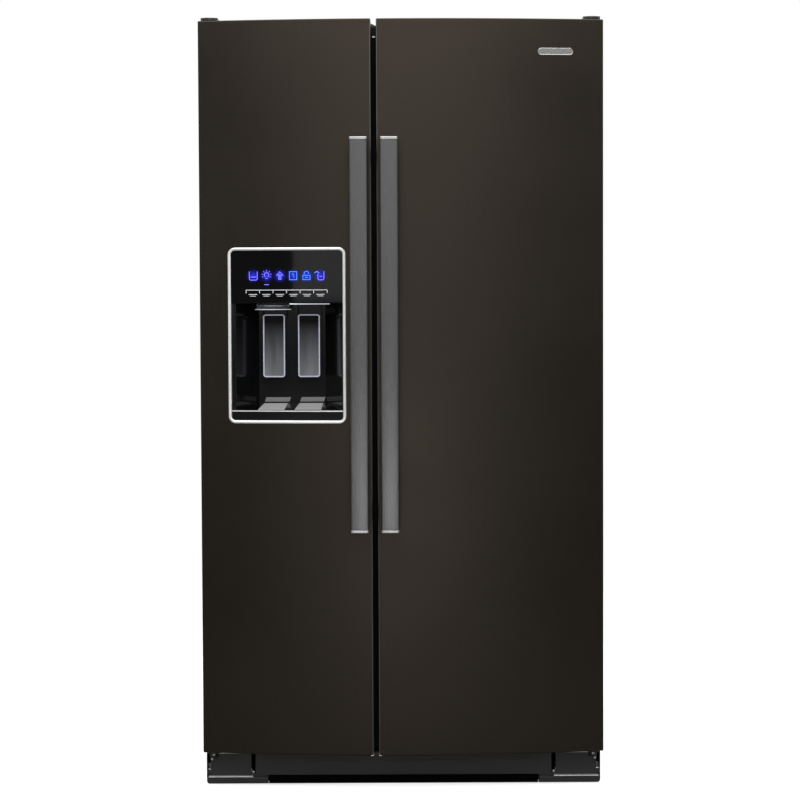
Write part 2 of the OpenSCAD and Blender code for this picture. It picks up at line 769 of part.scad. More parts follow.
module evaporator() {
    x = [freezer_room_x[0] + 30, freezer_room_x[1] - 30];
    y = [evap_y + 10, room_y - 6];
    z = [hump_z + 60, hump_z + 380];
    rows = 8;
    fins = 14;
    pitch = (z[1] - z[0]) / rows;
    color("#b4b8ba") {
        for (i = [0 : rows - 1], ty = [y[0] + 15, y[1] - 15])
            rod_x(tube_r, [x[0] - 12, x[1] + 12], ty, z[0] + pitch * (i + 0.5));
        for (i = [0 : fins - 1])
            translate([x[0] + (x[1] - x[0]) * i / (fins - 1), 0, 0]) slab([-fin_half_t, fin_half_t], y, z);
        for (s = [x[0] - 14, x[1] + 10])
            slab([s, s + 4], [y[0] + 10, y[1] - 10], z);
    }
}

module evaporator_cover() {
    x = freezer_room_x;
    z = [hump_z, room_top];
    color("#dfe2e3") difference() {
        slab(x, [evap_y, evap_y + 3], z);
        for (i = [0 : 6])
            slab([x[0] + 40, x[1] - 40], [evap_y - 1, evap_y + 4],
                 [room_top - 190 + i * 16, room_top - 184 + i * 16]);
        for (i = [0 : 3])
            slab([x[0] + 40, x[1] - 40], [evap_y - 1, evap_y + 4], [hump_z + 14 + i * 10, hump_z + 18 + i * 10]);
        for (i = [-4 : 4])
            slab([evap_fan[0] - 44, evap_fan[0] + 44], [evap_y - 1, evap_y + 4],
                 [evap_fan[2] + i * 10 - 2.5, evap_fan[2] + i * 10 + 2.5]);
    }
}

module icemaker() {
    x = [freezer_room_x[0] + 30, freezer_room_x[1] - 40];
    y = [inner_y + 20, inner_y + 250];
    cups = 7;
    cup_pitch = (y[1] - y[0] - 60) / cups;
    color("#cfd2d4") {
        difference() {
            slab([x[0], x[0] + 110], y, [maker_z[0] + 30, maker_z[1]]);
            for (i = [0 : cups - 1])
                slab([x[0] + 12, x[0] + 98], [y[0] + 50 + i * cup_pitch + 2, y[0] + 50 + (i + 1) * cup_pitch - 2],
                     [maker_z[1] - 34, maker_z[1] + 1]);
        }
        slab([x[0] + 110, x[0] + 126], [y[0], y[0] + 46], [maker_z[0], maker_z[1]]);
        for (s = [y[0] + 20, y[1] - 20])
            slab([x[0] - 30, x[0]], [s - 8, s + 8], [maker_z[1] - 20, maker_z[1] - 4]);
        slab([x[0] + 60, x[0] + 80], [y[1] - 60, y[1] - 20], [maker_z[1], room_top]);
    }
}

module wire_shelf(z) {
    x = [freezer_room_x[0] + 2, freezer_room_x[1] - 2];
    y = [inner_y + 10, evap_y - shelf_back_gap];
    wire = 4;
    rods = 15;
    for (i = [0 : rods])
        translate([x[0] + (x[1] - x[0] - wire) * i / rods, 0, 0]) slab([0, wire], y, [z, z + wire]);
    for (s = [y[0], (y[0] + y[1]) / 2, y[1] - wire])
        slab(x, [s, s + wire], [z + wire, z + 2 * wire]);
    slab(x, [y[0], y[0] + wire], [z + 2 * wire, z + 5 * wire]);
}

module freezer_shelves() {
    color("#f2f3f3") for (z = freezer_shelf_z) wire_shelf(z);
}

module fridge_shelves() {
    x = [fridge_room_x[0] + 1, fridge_room_x[1] - 1];
    color("#bcd6d6") for (z = fridge_shelf_z) {
        slab(x, [inner_y + 10, room_y - 22], [z, z + glass_t]);
        slab(x, [inner_y + 4, inner_y + 10], [z - 6, z + glass_t + 4]);
    }
}

module water_filter() {
    x = fridge_room_x[1] - 78;
    y = [inner_y + 100, inner_y + 300];
    z = room_top - 38;
    color("#e4e7e8") {
        slab([x - 42, x + 42], [y[0] + 30, y[1]], [room_top - 14, room_top]);
        rod_y(28, x, [y[0], y[1] - 30], z);
        slab([x - 34, x + 34], [y[1] - 30, y[1]], [z - 30, room_top - 14]);
        rod_y(31, x, [y[0] - 8, y[0] + 12], z);
    }
}

// ---- Drawers ----

module drawer(x, y, z) {
    grip_w = 120;
    grip_h = 16;
    mid = (x[0] + x[1]) / 2;
    difference() {
        union() {
            open_box([x[0] + drawer_clear, x[1] - drawer_clear], y, z, bin_t);
            slab([x[0] + drawer_clear, x[1] - drawer_clear], [y[0] - 6, y[0]], [z[0] + 8, z[1]]);
        }
        slab([mid - grip_w / 2, mid + grip_w / 2], [y[0] - 7, y[0] - 2], [z[1] - 14 - grip_h, z[1] - 14]);
    }
}

module crisper_upper() {
    color("#c4d9dd") drawer(fridge_room_x, [inner_y + 6, room_y - 40], crisper_z[1]);
}

module crisper_lower() {
    color("#c4d9dd") drawer(fridge_room_x, [inner_y + 6, hump_y - 6], crisper_z[0]);
}

module freezer_basket() {
    x = freezer_room_x;
    y = [inner_y + 6, hump_y - 6];
    slots = 9;
    slot_w = 18;
    pitch = (x[1] - x[0] - 60) / slots;
    color("#eceeee") difference() {
        drawer(x, y, basket_z);
        for (i = [0 : slots - 1])
            slab([x[0] + 30 + pitch * (i + 0.5) - slot_w / 2, x[0] + 30 + pitch * (i + 0.5) + slot_w / 2],
                 [y[1] - bin_t - 1, y[1] + 1], [basket_z[0] + 24, basket_z[1] - 24]);
        for (i = [0 : 4])
            slab([x[0], x[1]], [y[0] + 30 + i * 50, y[0] + 56 + i * 50], [basket_z[0] + 24, basket_z[1] - 24]);
    }
}

// ---- What both doors have ----

module door_skin(x) {
    difference() {
        behind_bow(x, door_back_y, door_z, 0);
        behind_bow([x[0] + skin_t, x[1] - skin_t], door_back_y + 1, [door_z[0] - 1, door_z[1] + 1], skin_t);
    }
}

module door_core(x) {
    behind_bow([x[0] + skin_t, x[1] - skin_t], door_back_y - door_liner_t, core_z, skin_t);
}

// The two upright ribs of a door liner, shrunk by g.
module ribs(x, g, y_front) {
    for (rx = [[x[0], x[0] + rib_w], [x[1] - rib_w, x[1]]])
        slab([rx[0] + g, rx[1] - g], [y_front, door_back_y + rib_reach - g], [rib_z[0] + g, rib_z[1] - g]);
}

module door_caps(x, px) {
    difference() {
        union() {
            behind_bow([x[0] + skin_t, x[1] - skin_t], door_back_y, [door_z[0], core_z[0]], skin_t);
            behind_bow([x[0] + skin_t, x[1] - skin_t], door_back_y, [core_z[1], door_z[1]], skin_t);
        }
        rod_z(pin_r + run_clear, px, pin_y, [door_z[0] - 1, core_z[0] - 1]);
        rod_z(pin_r + run_clear, px, pin_y, [core_z[1] + 1, door_z[1] + 1]);
    }
}

// A ring on the door's back; edge_in is its distance from the door's left and right edges.
module gasket(x, edge_in) {
    width = 16;
    squeeze = 0.5;
    ring_x = [x[0] + edge_in[0], x[1] - edge_in[1]];
    ring_z = [core_z[0] - 4, core_z[1] + 4];
    color("#4b4d50") difference() {
        slab(ring_x, [door_back_y, cab_y - squeeze], ring_z);
        slab([ring_x[0] + width, ring_x[1] - width], [door_back_y - 1, cab_y + 1],
             [ring_z[0] + width, ring_z[1] - width]);
    }
}

module door_bin(x, z) {
    lip = 12;
    open_box([x[0] + rib_w, x[1] - rib_w], [door_back_y, bin_y], [z, z + bin_h], bin_t);
    for (s = [x[0] + rib_w - 6, x[1] - rib_w])
        slab([s, s + 6], [door_back_y + rib_reach, bin_y - 4], [z + bin_h - lip - 12, z + bin_h - lip]);
}

module handle_bar(x) {
    z = handle_z;
    post = 26;
    post_in = 34;
    post_drop = 22;
    difference() {
        union() {
            slab(x, [face_y, face_y + handle_t], [z[0] + handle_end_h, z[1] - handle_end_h]);
            for (pz = [z[0] + post_drop, z[1] - post_drop - post_in])
                slab([x[0] + (handle_w - post) / 2, x[1] - (handle_w - post) / 2],
                     [face_y + handle_t, apex_y + 4], [pz, pz + post_in]);
        }
        translate([0, bow_y, z[0] - 1]) cylinder(r = bow_r, h = z[1] - z[0] + 2, $fn = 720);
    }
}

module handle_ends(x) {
    z = handle_z;
    for (ez = [[z[0], z[0] + handle_end_h], [z[1] - handle_end_h, z[1]]])
        slab(x, [face_y, face_y + handle_t], ez);
}

// ---- Freezer door ----

module freezer_door_skin() {
    color(door_dark) difference() {
        door_skin(freezer_x);
        round_block(hole_x, [face_y, door_back_y], hole_z, hole_r);
    }
}

// The slanted plan of the recess, grown by g.
module recess(g, z, y_front) {
    back = recess_back_w / 2 + g;
    front = (open_x[1] - open_x[0]) / 2 - housing_t + g;
    straight_y = disp_face_y + recess_straight;
    translate([disp_x, 0, z[0]]) linear_extrude(height = z[1] - z[0])
        polygon([[-front, y_front], [front, y_front], [front, straight_y], [recess_shift + back, recess_y + g],
                 [recess_shift - back, recess_y + g], [-front, straight_y]]);
}

// The leaning shaft of the ice chute, grown by g and longer by over at each end.
module chute_shape(g, over) {
    y = [chute_foot[0] - chute_lean * over, chute_top[0] + chute_lean * over];
    z = [chute_foot[1] - over, chute_top[1] + over];
    translate([paddle_x[0] - chute_w / 2 - g, 0, 0]) rotate([90, 0, 90])
        linear_extrude(height = chute_w + 2 * g)
            polygon([[y[0] - g, z[0]], [y[0] + chute_d + g, z[0]], [y[1] + chute_d + g, z[1]], [y[1] - g, z[1]]]);
}

// Room in the foam for the surround's sleeve, the panel and its electronics.
module behind_bow_pocket() {
    difference() {
        round_block(hole_x, [face_y, door_back_y], hole_z, hole_r);
        behind_bow([hole_x[0] - 1, hole_x[1] + 1], door_back_y + 1, [hole_z[0] - 1, hole_z[1] + 1], pocket_d);
    }
}

module freezer_door_foam() {
    color(foam_cream) difference() {
        union() {
            door_core(freezer_x);
            ribs(freezer_ribs_x, door_liner_t, door_back_y - door_liner_t - 1);
            slab([freezer_ribs_x[0] + door_liner_t, freezer_ribs_x[1] - door_liner_t],
                 [door_back_y - door_liner_t - 1, bulge_y - door_liner_t],
                 [bulge_z[0] + door_liner_t, bulge_z[1] - door_liner_t]);
        }
        recess(housing_t, [open_z[0], panel_z + housing_t], face_y);
        behind_bow_pocket();
        chute_shape(chute_t, 0);
    }
}

module freezer_door_liner() {
    x = freezer_ribs_x;
    color(plastic_white) difference() {
        union() {
            slab([freezer_x[0] + skin_t, freezer_x[1] - skin_t], [door_back_y - door_liner_t, door_back_y], core_z);
            ribs(x, 0, door_back_y - 1);
            slab(x, [door_back_y - 1, bulge_y], bulge_z);
        }
        ribs(x, door_liner_t, door_back_y - door_liner_t - 1);
        slab([x[0] + door_liner_t, x[1] - door_liner_t], [door_back_y - door_liner_t - 1, bulge_y - door_liner_t],
             [bulge_z[0] + door_liner_t, bulge_z[1] - door_liner_t]);
        chute_shape(chute_t, 0);
    }
}

module freezer_door_caps() {
    color("#2a2826") door_caps(freezer_x, -pin_x);
}

module freezer_gasket() {
    gasket(freezer_x, [gasket_hinge_in, gasket_free_in]);
}

module freezer_door_bins() {
    color("#dbe6e8") for (z = freezer_bin_z) door_bin(freezer_ribs_x, z);
}

module freezer_handle() {
    color("#5a5a5b") handle_bar(freezer_handle_x);
}

module freezer_handle_ends() {
    color("#d8d8d6") handle_ends(freezer_handle_x);
}

module paddle_ears(cx) {
    inner = paddle_w / 2 + ear_gap;
    for (s = [-1, 1])
        translate([cx + s * (inner + ear_t / 2), 0, 0])
            slab([-ear_t / 2, ear_t / 2], [paddle_y - 5, paddle_y + 5], [paddle_pivot_z - 6, panel_z]);
}

module dispenser_housing() {
    ear_reach = paddle_w / 2 + ear_gap + ear_t + 1;
    color("#3d3f42") difference() {
        union() {
            intersection() {
                difference() {
                    recess(housing_t, [open_z[0], panel_z + housing_t], face_y);
                    recess(0, [open_z[0] + housing_floor_t, panel_z], face_y - 1);
                }
                behind_bow(open_x, door_back_y + recess_d, open_z, bezel_sleeve);
            }
            for (x = paddle_x) paddle_ears(x);
        }
        bow_layer(open_x, [panel_z, panel_z + housing_t + 1], 0, panel_t);
        chute_shape(chute_t, 0);
        for (x = paddle_x)
            rod_x(paddle_pin_r + run_clear, [x - ear_reach, x + ear_reach], paddle_y, paddle_pivot_z);
    }
}

module dispenser_bezel() {
    color("#d9dbdc") intersection() {
        difference() {
            round_block([open_x[0] - bezel_w, open_x[1] + bezel_w], [face_y, door_back_y],
                        [disp_z, disp_top], bezel_r);
            round_block(open_x, [face_y - 1, door_back_y + 1], open_z, open_r);
        }
        union() {
            bow_layer([open_x[0] - bezel_w - 1, open_x[1] + bezel_w + 1], [disp_z - 1, disp_top + 1],
                      bezel_proud, 0);
            bow_layer([hole_x[0] + panel_gap, hole_x[1] - panel_gap], [hole_z[0] + panel_gap, hole_z[1] - panel_gap],
                      bezel_proud, bezel_sleeve);
        }
    }
}

module dispenser_panel() {
    color("#0c0c0e") intersection() {
        round_block([open_x[0] + panel_gap, open_x[1] - panel_gap], [face_y, door_back_y],
                    [panel_z - 20, open_z[1] - panel_gap], open_r - 0.5);
        bow_layer(open_x, [panel_z, open_z[1]], 0.5, panel_t - panel_gap);
    }
}

module paddle(cx) {
    lens_d = 1.2;
    lens_in = 6;
    lens_top = 14;
    difference() {
        union() {
            slab([cx - paddle_w / 2, cx + paddle_w / 2], [paddle_y - paddle_t / 2, paddle_y + paddle_t / 2],
                 [paddle_top_z - paddle_h, paddle_top_z]);
            rod_x(paddle_pin_r, [cx - paddle_w / 2 - ear_gap - ear_t, cx + paddle_w / 2 + ear_gap + ear_t],
                  paddle_y, paddle_pivot_z);
        }
        slab([cx - paddle_w / 2 + lens_in, cx + paddle_w / 2 - lens_in],
             [paddle_y - paddle_t / 2 - 1, paddle_y - paddle_t / 2 + lens_d],
             [paddle_top_z - paddle_h + lens_in, paddle_top_z - lens_top]);
    }
}

module ice_paddle() {
    color("#8f9096") paddle(paddle_x[0]);
}

module water_paddle() {
    color("#8f9096") paddle(paddle_x[1]);
}

module ice_chute() {
    color("#9aa0a6") difference() {
        chute_shape(chute_t, 0);
        chute_shape(0, 1);
    }
}

module drip_tray() {
    bar = 3;
    bars = 14;
    bar_pitch = 6;
    bar_half_w = 64;
    tray_gap = 0.6;
    tray_wall = 4;
    tray_front = 3;
    color("#1c1d20") difference() {
        intersection() {
            recess(-tray_gap, tray_z, face_y);
            behind_bow(open_x, door_back_y + recess_d, tray_z, tray_front);
        }
        intersection() {
            recess(-tray_wall, [tray_z[0] + 3, tray_z[1] - 3], face_y);
            behind_bow(open_x, door_back_y + recess_d, tray_z, tray_front + tray_wall);
        }
        for (i = [0 : bars - 1])
            slab([disp_x - bar_half_w, disp_x + bar_half_w],
                 [disp_face_y + 20 + i * bar_pitch, disp_face_y + 20 + i * bar_pitch + bar],
                 [tray_z[1] - 4, tray_z[1] + 1]);
    }
}

module ice_bin() {
    x = freezer_ribs_x;
    color("#cfe0e4") difference() {
        open_box([x[0] + rib_w + 1, x[1] - rib_w - 1], [door_back_y + 0.5, bin_y], ice_bin_z, bin_t);
        slab([paddle_x[0] - chute_w / 2, paddle_x[0] + chute_w / 2],
             [chute_top[0], chute_top[0] + chute_d], [ice_bin_z[0] - 1, ice_bin_z[0] + bin_t + 1]);
    }
}

// ---- Fridge door ----

module fridge_door_skin() {
    color(door_dark) door_skin(fridge_x);
}

module fridge_door_foam() {
    color(foam_cream) {
        door_core(fridge_x);
        ribs(fridge_ribs_x, door_liner_t, door_back_y - door_liner_t - 1);
    }
}

module fridge_door_liner() {
    color(plastic_white) difference() {
        union() {
            slab([fridge_x[0] + skin_t, fridge_x[1] - skin_t], [door_back_y - door_liner_t, door_back_y], core_z);
            ribs(fridge_ribs_x, 0, door_back_y - 1);
        }
        ribs(fridge_ribs_x, door_liner_t, door_back_y - door_liner_t - 1);
    }
}

module fridge_door_caps() {
    color("#2a2826") door_caps(fridge_x, pin_x);
}

module fridge_gasket() {
    gasket(fridge_x, [gasket_free_in, gasket_hinge_in]);
}

module fridge_door_bins() {
    x = fridge_ribs_x;
    color("#dbe6e8") {
        for (z = fridge_bin_z) door_bin(x, z);
        // Dairy compartment: floor, sides and roof, with holes for the flap's pins.
        difference() {
            slab([x[0] + rib_w, x[1] - rib_w], [door_back_y, bin_y], [dairy_z, dairy_z + dairy_h + 4]);
            slab([x[0] + rib_w + bin_t, x[1] - rib_w - bin_t], [door_back_y - 1, bin_y + 1],
                 [dairy_z + bin_t, dairy_z + dairy_h]);
            rod_x(flap_pin_r + run_clear, [x[0] + rib_w - 1, x[1] - rib_w + 1], flap_y, flap_z);
        }
    }
}

module dairy_flap() {
    x = [fridge_ribs_x[0] + rib_w + bin_t + 1, fridge_ribs_x[1] - rib_w - bin_t - 1];
    color("#bcd0d6") {
        slab(x, [flap_y - flap_t / 2, flap_y + flap_t / 2], [dairy_z + bin_t + 2, flap_z]);
        rod_x(flap_pin_r, [x[0] - bin_t - 0.5, x[1] + bin_t + 0.5], flap_y, flap_z);
        slab([(x[0] + x[1]) / 2 - 40, (x[0] + x[1]) / 2 + 40], [flap_y + flap_t / 2, flap_y + 8],
             [dairy_z + bin_t + 4, dairy_z + bin_t + 8]);
    }
}

module fridge_handle() {
    color("#5a5a5b") handle_bar(fridge_handle_x);
}

module fridge_handle_ends() {
    color("#d8d8d6") handle_ends(fridge_handle_x);
}

cabinet_wrapper();
cabinet_back();
rear_access_cover();
cabinet_foam();
front_frame();
freezer_liner();
fridge_liner();
base_pan();
base_grille();
bottom_hinges();
top_hinges();
hinge_covers();
roller_brackets();
compressor();
condenser();
fan_motor();
drain_pan();
water_valve();
power_cord_gland();
evaporator();
evaporator_cover();
icemaker();
freezer_shelves();
fridge_shelves();
water_filter();
condenser_fan();
evaporator_fan();
leveling_leg_left();
leveling_leg_right();
front_roller_left();
front_roller_right();
rear_rollers();
crisper_upper();
crisper_lower();
freezer_basket();
freezer_door_skin();
freezer_door_foam();
freezer_door_liner();
freezer_door_caps();
freezer_gasket();
freezer_door_bins();
freezer_handle();
freezer_handle_ends();
dispenser_housing();
dispenser_bezel();
dispenser_panel();
ice_paddle();
water_paddle();
ice_chute();
drip_tray();
ice_bin();
fridge_door_skin();
fridge_door_foam();
fridge_door_liner();
fridge_door_caps();
fridge_gasket();
fridge_door_bins();
fridge_handle();
fridge_handle_ends();
dairy_flap();
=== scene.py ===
"""Side by side refrigerator: its finishes and fine shapes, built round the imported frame.

Everything is in metres, in the frame's own axes: X to the right, the doors face -Y, Z is up.
"""

import json
import math

import bmesh
import bpy
from bpy.props import FloatProperty, FloatVectorProperty, IntProperty, PointerProperty
from mathutils import Euler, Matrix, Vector


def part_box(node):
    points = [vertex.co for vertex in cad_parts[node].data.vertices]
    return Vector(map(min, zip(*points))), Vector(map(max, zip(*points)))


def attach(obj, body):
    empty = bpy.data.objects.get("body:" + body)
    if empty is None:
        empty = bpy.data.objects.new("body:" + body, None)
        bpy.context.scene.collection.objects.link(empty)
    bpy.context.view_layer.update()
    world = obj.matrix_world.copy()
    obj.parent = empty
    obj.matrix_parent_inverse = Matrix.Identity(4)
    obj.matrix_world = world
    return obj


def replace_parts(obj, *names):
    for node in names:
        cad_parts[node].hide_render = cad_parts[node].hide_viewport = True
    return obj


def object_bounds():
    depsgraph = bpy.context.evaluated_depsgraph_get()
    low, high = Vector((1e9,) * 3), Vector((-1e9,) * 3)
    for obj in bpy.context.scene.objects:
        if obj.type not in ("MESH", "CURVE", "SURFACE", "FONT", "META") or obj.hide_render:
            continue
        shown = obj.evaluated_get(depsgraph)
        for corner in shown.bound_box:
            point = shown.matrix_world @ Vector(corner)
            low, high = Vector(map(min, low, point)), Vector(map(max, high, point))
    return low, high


bl_info = {
    "name": "Side by Side Refrigerator",
    "version": (1, 0, 0),
    "blender": (4, 5, 0),
    "location": "View3D > Sidebar > Refrigerator",
    "description": "Builds the finishes and fine shapes of a side by side refrigerator",
    "category": "Object",
}

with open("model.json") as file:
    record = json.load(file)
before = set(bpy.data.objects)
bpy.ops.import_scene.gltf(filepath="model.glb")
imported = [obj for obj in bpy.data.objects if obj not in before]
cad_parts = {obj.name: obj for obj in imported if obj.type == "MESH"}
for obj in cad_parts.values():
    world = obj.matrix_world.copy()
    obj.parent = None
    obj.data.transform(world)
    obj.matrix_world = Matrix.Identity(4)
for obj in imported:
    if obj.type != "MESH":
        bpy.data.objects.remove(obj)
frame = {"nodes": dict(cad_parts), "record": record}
CAD_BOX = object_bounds()
MM = 0.001


# ---- Settings ----


def length(name, description, default):
    """A length in metres that a user can change."""
    return FloatProperty(
        name=name, description=description, default=default, min=0.0, precision=5, subtype="DISTANCE", unit="LENGTH"
    )


def colour(name, description, default):
    """A linear colour that a user can change."""
    return FloatVectorProperty(
        name=name, description=description, default=default, size=3, min=0.0, max=1.0, subtype="COLOR"
    )


class DoorSettings(bpy.types.PropertyGroup):
    """Sizes of the two doors' outsides."""

    bow: length("Bow", "How far the bow across both doors stands out in the middle", 0.038)
    side_radius: length("Side radius", "Rounding of the upright edges", 0.003)
    roll: length("Rolled edge", "Rounding of the top and bottom edges", 0.0025)
    sheet: length("Sheet", "Thickness of the steel skin", 0.001)
    front_steps: IntProperty(name="Front steps", description="Faces across a door", default=44, min=8)
    steel: colour("Dark steel", "Colour of the coated door steel", (0.044, 0.037, 0.0295))


class HandleSettings(bpy.types.PropertyGroup):
    """Sizes of the two handles."""

    crown: length("Crown", "How far the face is crowned", 0.0006)
    edge_radius: length("Edge radius", "Rounding of the long edges", 0.0028)
    groove: length("Groove", "Gap between the bar and an end piece", 0.0007)
    post_width: length("Post width", "Width of a post", 0.026)
    post_height: length("Post height", "Height of a post", 0.034)
    post_inset: length("Post inset", "From the handle's end to a post", 0.022)
    steel: colour("Handle steel", "Colour of the brushed bar", (0.118, 0.117, 0.119))


class DispenserSettings(bpy.types.PropertyGroup):
    """Sizes of the dispenser's surround, panel and recess."""

    frame_width: length("Frame width", "Width of the bright frame", 0.007)
    corner: length("Opening corner", "Corner radius of the opening", 0.009)
    symbol_pitch: length("Symbol pitch", "From one symbol to the next", 0.030)
    symbol_drop: length("Symbol drop", "From the panel's top to the symbols' middle", 0.0565)
    stroke: length("Stroke", "Width of the symbols' lines", 0.00155)
    symbol_size: FloatProperty(name="Symbol size", description="Scale of the symbols", default=1.28, min=0.1)
    legend_drop: length("Legend drop", "From the panel's top to the legend's line", 0.0885)
    paddle_rim: length("Paddle rim", "Width of a paddle's clear rim", 0.0030)
    glow: colour("Glow", "Colour of the lit symbols", (0.19, 0.16, 1.0))
    glow_blue: colour("Bluer glow", "Colour of the bluest lit symbols", (0.04, 0.22, 1.0))
    glow_strength: FloatProperty(name="Glow strength", description="Light of the symbols", default=1.7, min=0.0)


class InsideSettings(bpy.types.PropertyGroup):
    """Sizes of shelves, bins and drawers."""

    bin_wall: length("Bin wall", "Wall of a moulded bin", 0.003)
    bin_corner: length("Bin corner", "Corner radius of a moulded bin", 0.014)
    wire: length("Wire radius", "Radius of a shelf's wires", 0.002)
    wires: IntProperty(name="Wires", description="Wires from front to back on a shelf", default=15, min=4)
    lamp_light: FloatProperty(name="Lamp light", description="Light of the lamps inside", default=2.0, min=0.0)


class StageSettings(bpy.types.PropertyGroup):
    """Floor, lights and camera."""

    camera_gap: length("Camera distance", "From the doors' outer edges to the camera", 4.5)
    camera_height: length("Camera height", "Height of the camera", 1.18)
    camera_side: FloatProperty(name="Camera side", description="Camera to the side", default=-0.007, unit="LENGTH")
    camera_pitch: FloatProperty(
        name="Camera pitch", description="How far the camera looks down", default=math.radians(2.175), subtype="ANGLE"
    )
    camera_roll: FloatProperty(
        name="Camera roll", description="How far the camera leans", default=math.radians(0.25), subtype="ANGLE"
    )
    lens: FloatProperty(name="Lens", description="Focal length in millimetres", default=89.69, min=1.0)
    shift: FloatProperty(name="Shift", description="Upright shift of the lens", default=-0.07)
    shift_side: FloatProperty(name="Side shift", description="Level shift of the lens", default=0.0017)
    floor_radius: length("Floor radius", "Radius of the pale floor", 3.2)


def doors():
    return bpy.context.scene.fridge_doors


def handles():
    return bpy.context.scene.fridge_handles


def dispenser():
    return bpy.context.scene.fridge_dispenser


def inside():
    return bpy.context.scene.fridge_inside


def stage_sizes():
    return bpy.context.scene.fridge_stage


# ---- Places in the frame ----


def low(node):
    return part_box(node)[0]


def high(node):
    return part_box(node)[1]


def solids(node):
    """The boxes of a node's separate solids, from the lowest to the highest."""
    bm = bmesh.new()
    bm.from_mesh(frame["nodes"][node].data)
    bmesh.ops.remove_doubles(bm, verts=bm.verts, dist=1e-5)
    left, boxes = set(bm.verts), []
    while left:
        todo, island = [left.pop()], []
        while todo:
            vert = todo.pop()
            island.append(vert.co.copy())
            for edge in vert.link_edges:
                other = edge.other_vert(vert)
                if other in left:
                    left.remove(other)
                    todo.append(other)
        lows = Vector([min(p[i] for p in island) for i in range(3)])
        highs = Vector([max(p[i] for p in island) for i in range(3)])
        boxes.append((lows, highs))
    bm.free()
    return sorted(boxes, key=lambda b: (round(b[0].z, 4), b[0].x))


class Bow:
    """The upright cylinder that the faces of both doors lie on."""

    def __init__(self):
        half = high("fridge_door_skin").x
        rise = doors().bow
        self.radius = (half * half + rise * rise) / (2 * rise)
        self.middle = low("fridge_door_skin").y + self.radius

    def y(self, x, inset=0.0):
        return self.middle - math.sqrt((self.radius - inset) ** 2 - x * x)

    def angle(self, x, inset=0.0):
        return -math.acos(x / (self.radius - inset))

    def point(self, angle, inset=0.0):
        reach = self.radius - inset
        return reach * math.cos(angle), self.middle + reach * math.sin(angle)


# ---- Mesh building ----


def loft(bm, rings, closed=True, caps=True, skip=None):
    """Joins rings of points with faces; skip(row, column) leaves a face out."""
    rows = [[bm.verts.new(p) for p in ring] for ring in rings]
    count = len(rows[0])
    for r in range(len(rows) - 1):
        for c in range(count if closed else count - 1):
            if skip and skip(r, c):
                continue
            d = (c + 1) % count
            bm.faces.new((rows[r][c], rows[r][d], rows[r + 1][d], rows[r + 1][c]))
    if caps:
        bm.faces.new(list(reversed(rows[0])))
        bm.faces.new(rows[-1])
    return rows


def loop_loft(bm, rings):
    """A closed tube whose last ring joins its first."""
    rows = [[bm.verts.new(p) for p in ring] for ring in rings]
    count = len(rows[0])
    for r in range(len(rows)):
        s = (r + 1) % len(rows)
        for c in range(count):
            d = (c + 1) % count
            bm.faces.new((rows[r][c], rows[r][d], rows[s][d], rows[s][c]))


def rounded_rect(u, v, radius, steps=6, edge_steps=1):
    """An outline with round corners, anticlockwise, as (u, v) pairs."""
    r = max(radius, 1e-5)
    corners = ((u[1] - r, v[0] + r, -90), (u[1] - r, v[1] - r, 0), (u[0] + r, v[1] - r, 90), (u[0] + r, v[0] + r, 180))
    points = []
    for cu, cv, start in corners:
        arc = [
            (
                cu + r * math.cos(math.radians(start + 90 * i / steps)),
                cv + r * math.sin(math.radians(start + 90 * i / steps)),
            )
            for i in range(steps + 1)
        ]
        if points:
            points.extend(between(points[-1], arc[0], edge_steps))
        points.extend(arc)
    points.extend(between(points[-1], points[0], edge_steps))
    return points


def between(a, b, steps):
    """The points that split a straight line into steps."""
    return [(a[0] + (b[0] - a[0]) * i / steps, a[1] + (b[1] - a[1]) * i / steps) for i in range(1, steps)]


def slab_rings(outline, levels, place):
    """Rings for loft: outline(inset) at each (height, inset), put in space by place(u, v, height)."""
    return [[place(u, v, h) for u, v in outline(inset)] for h, inset in levels]


def rolled(start, end, radius, steps=3):
    """(height, inset) levels from start to end with both edges rounded."""
    levels = []
    for i in range(steps + 1):
        a = math.pi / 2 * i / steps
        levels.append((start + math.copysign(radius * (1 - math.cos(a)), end - start), radius * (1 - math.sin(a))))
    for i in range(steps + 1):
        a = math.pi / 2 * (1 - i / steps)
        levels.append((end - math.copysign(radius * (1 - math.cos(a)), end - start), radius * (1 - math.sin(a))))
    return levels


def upright(x, y, z):
    return (x, y, z)


def facing(x, z, y):
    return (x, y, z)


def sideways(y, z, x):
    return (x, y, z)


def soft_box(bm, x, y, z, corner, edge, axis="z", steps=4):
    """A box with round corners about one axis and rounded ends along it."""
    pairs = {"z": (x, y, z, upright), "y": (x, z, y, facing), "x": (y, z, x, sideways)}
    u, v, w, place = pairs[axis]

    def outline(inset):
        return rounded_rect((u[0] + inset, u[1] - inset), (v[0] + inset, v[1] - inset), corner - inset, steps)

    loft(bm, slab_rings(outline, rolled(w[0], w[1], min(edge, corner * 0.95)), place))


def rod(bm, start, end, radius, sides=12, edge=0.0):
    """A round bar between two points, with rounded ends when edge isn't zero."""
    start, end = Vector(start), Vector(end)
    along = end - start
    turn = along.to_track_quat("Z", "Y")
    levels = rolled(0.0, along.length, edge, 2) if edge else [(0.0, 0.0), (along.length, 0.0)]
    rings = []
    for h, inset in levels:
        ring = []
        for i in range(sides):
            a = 2 * math.pi * i / sides
            spot = Vector(((radius - inset) * math.cos(a), (radius - inset) * math.sin(a), h))
            ring.append(start + turn @ spot)
        rings.append(ring)
    loft(bm, rings)


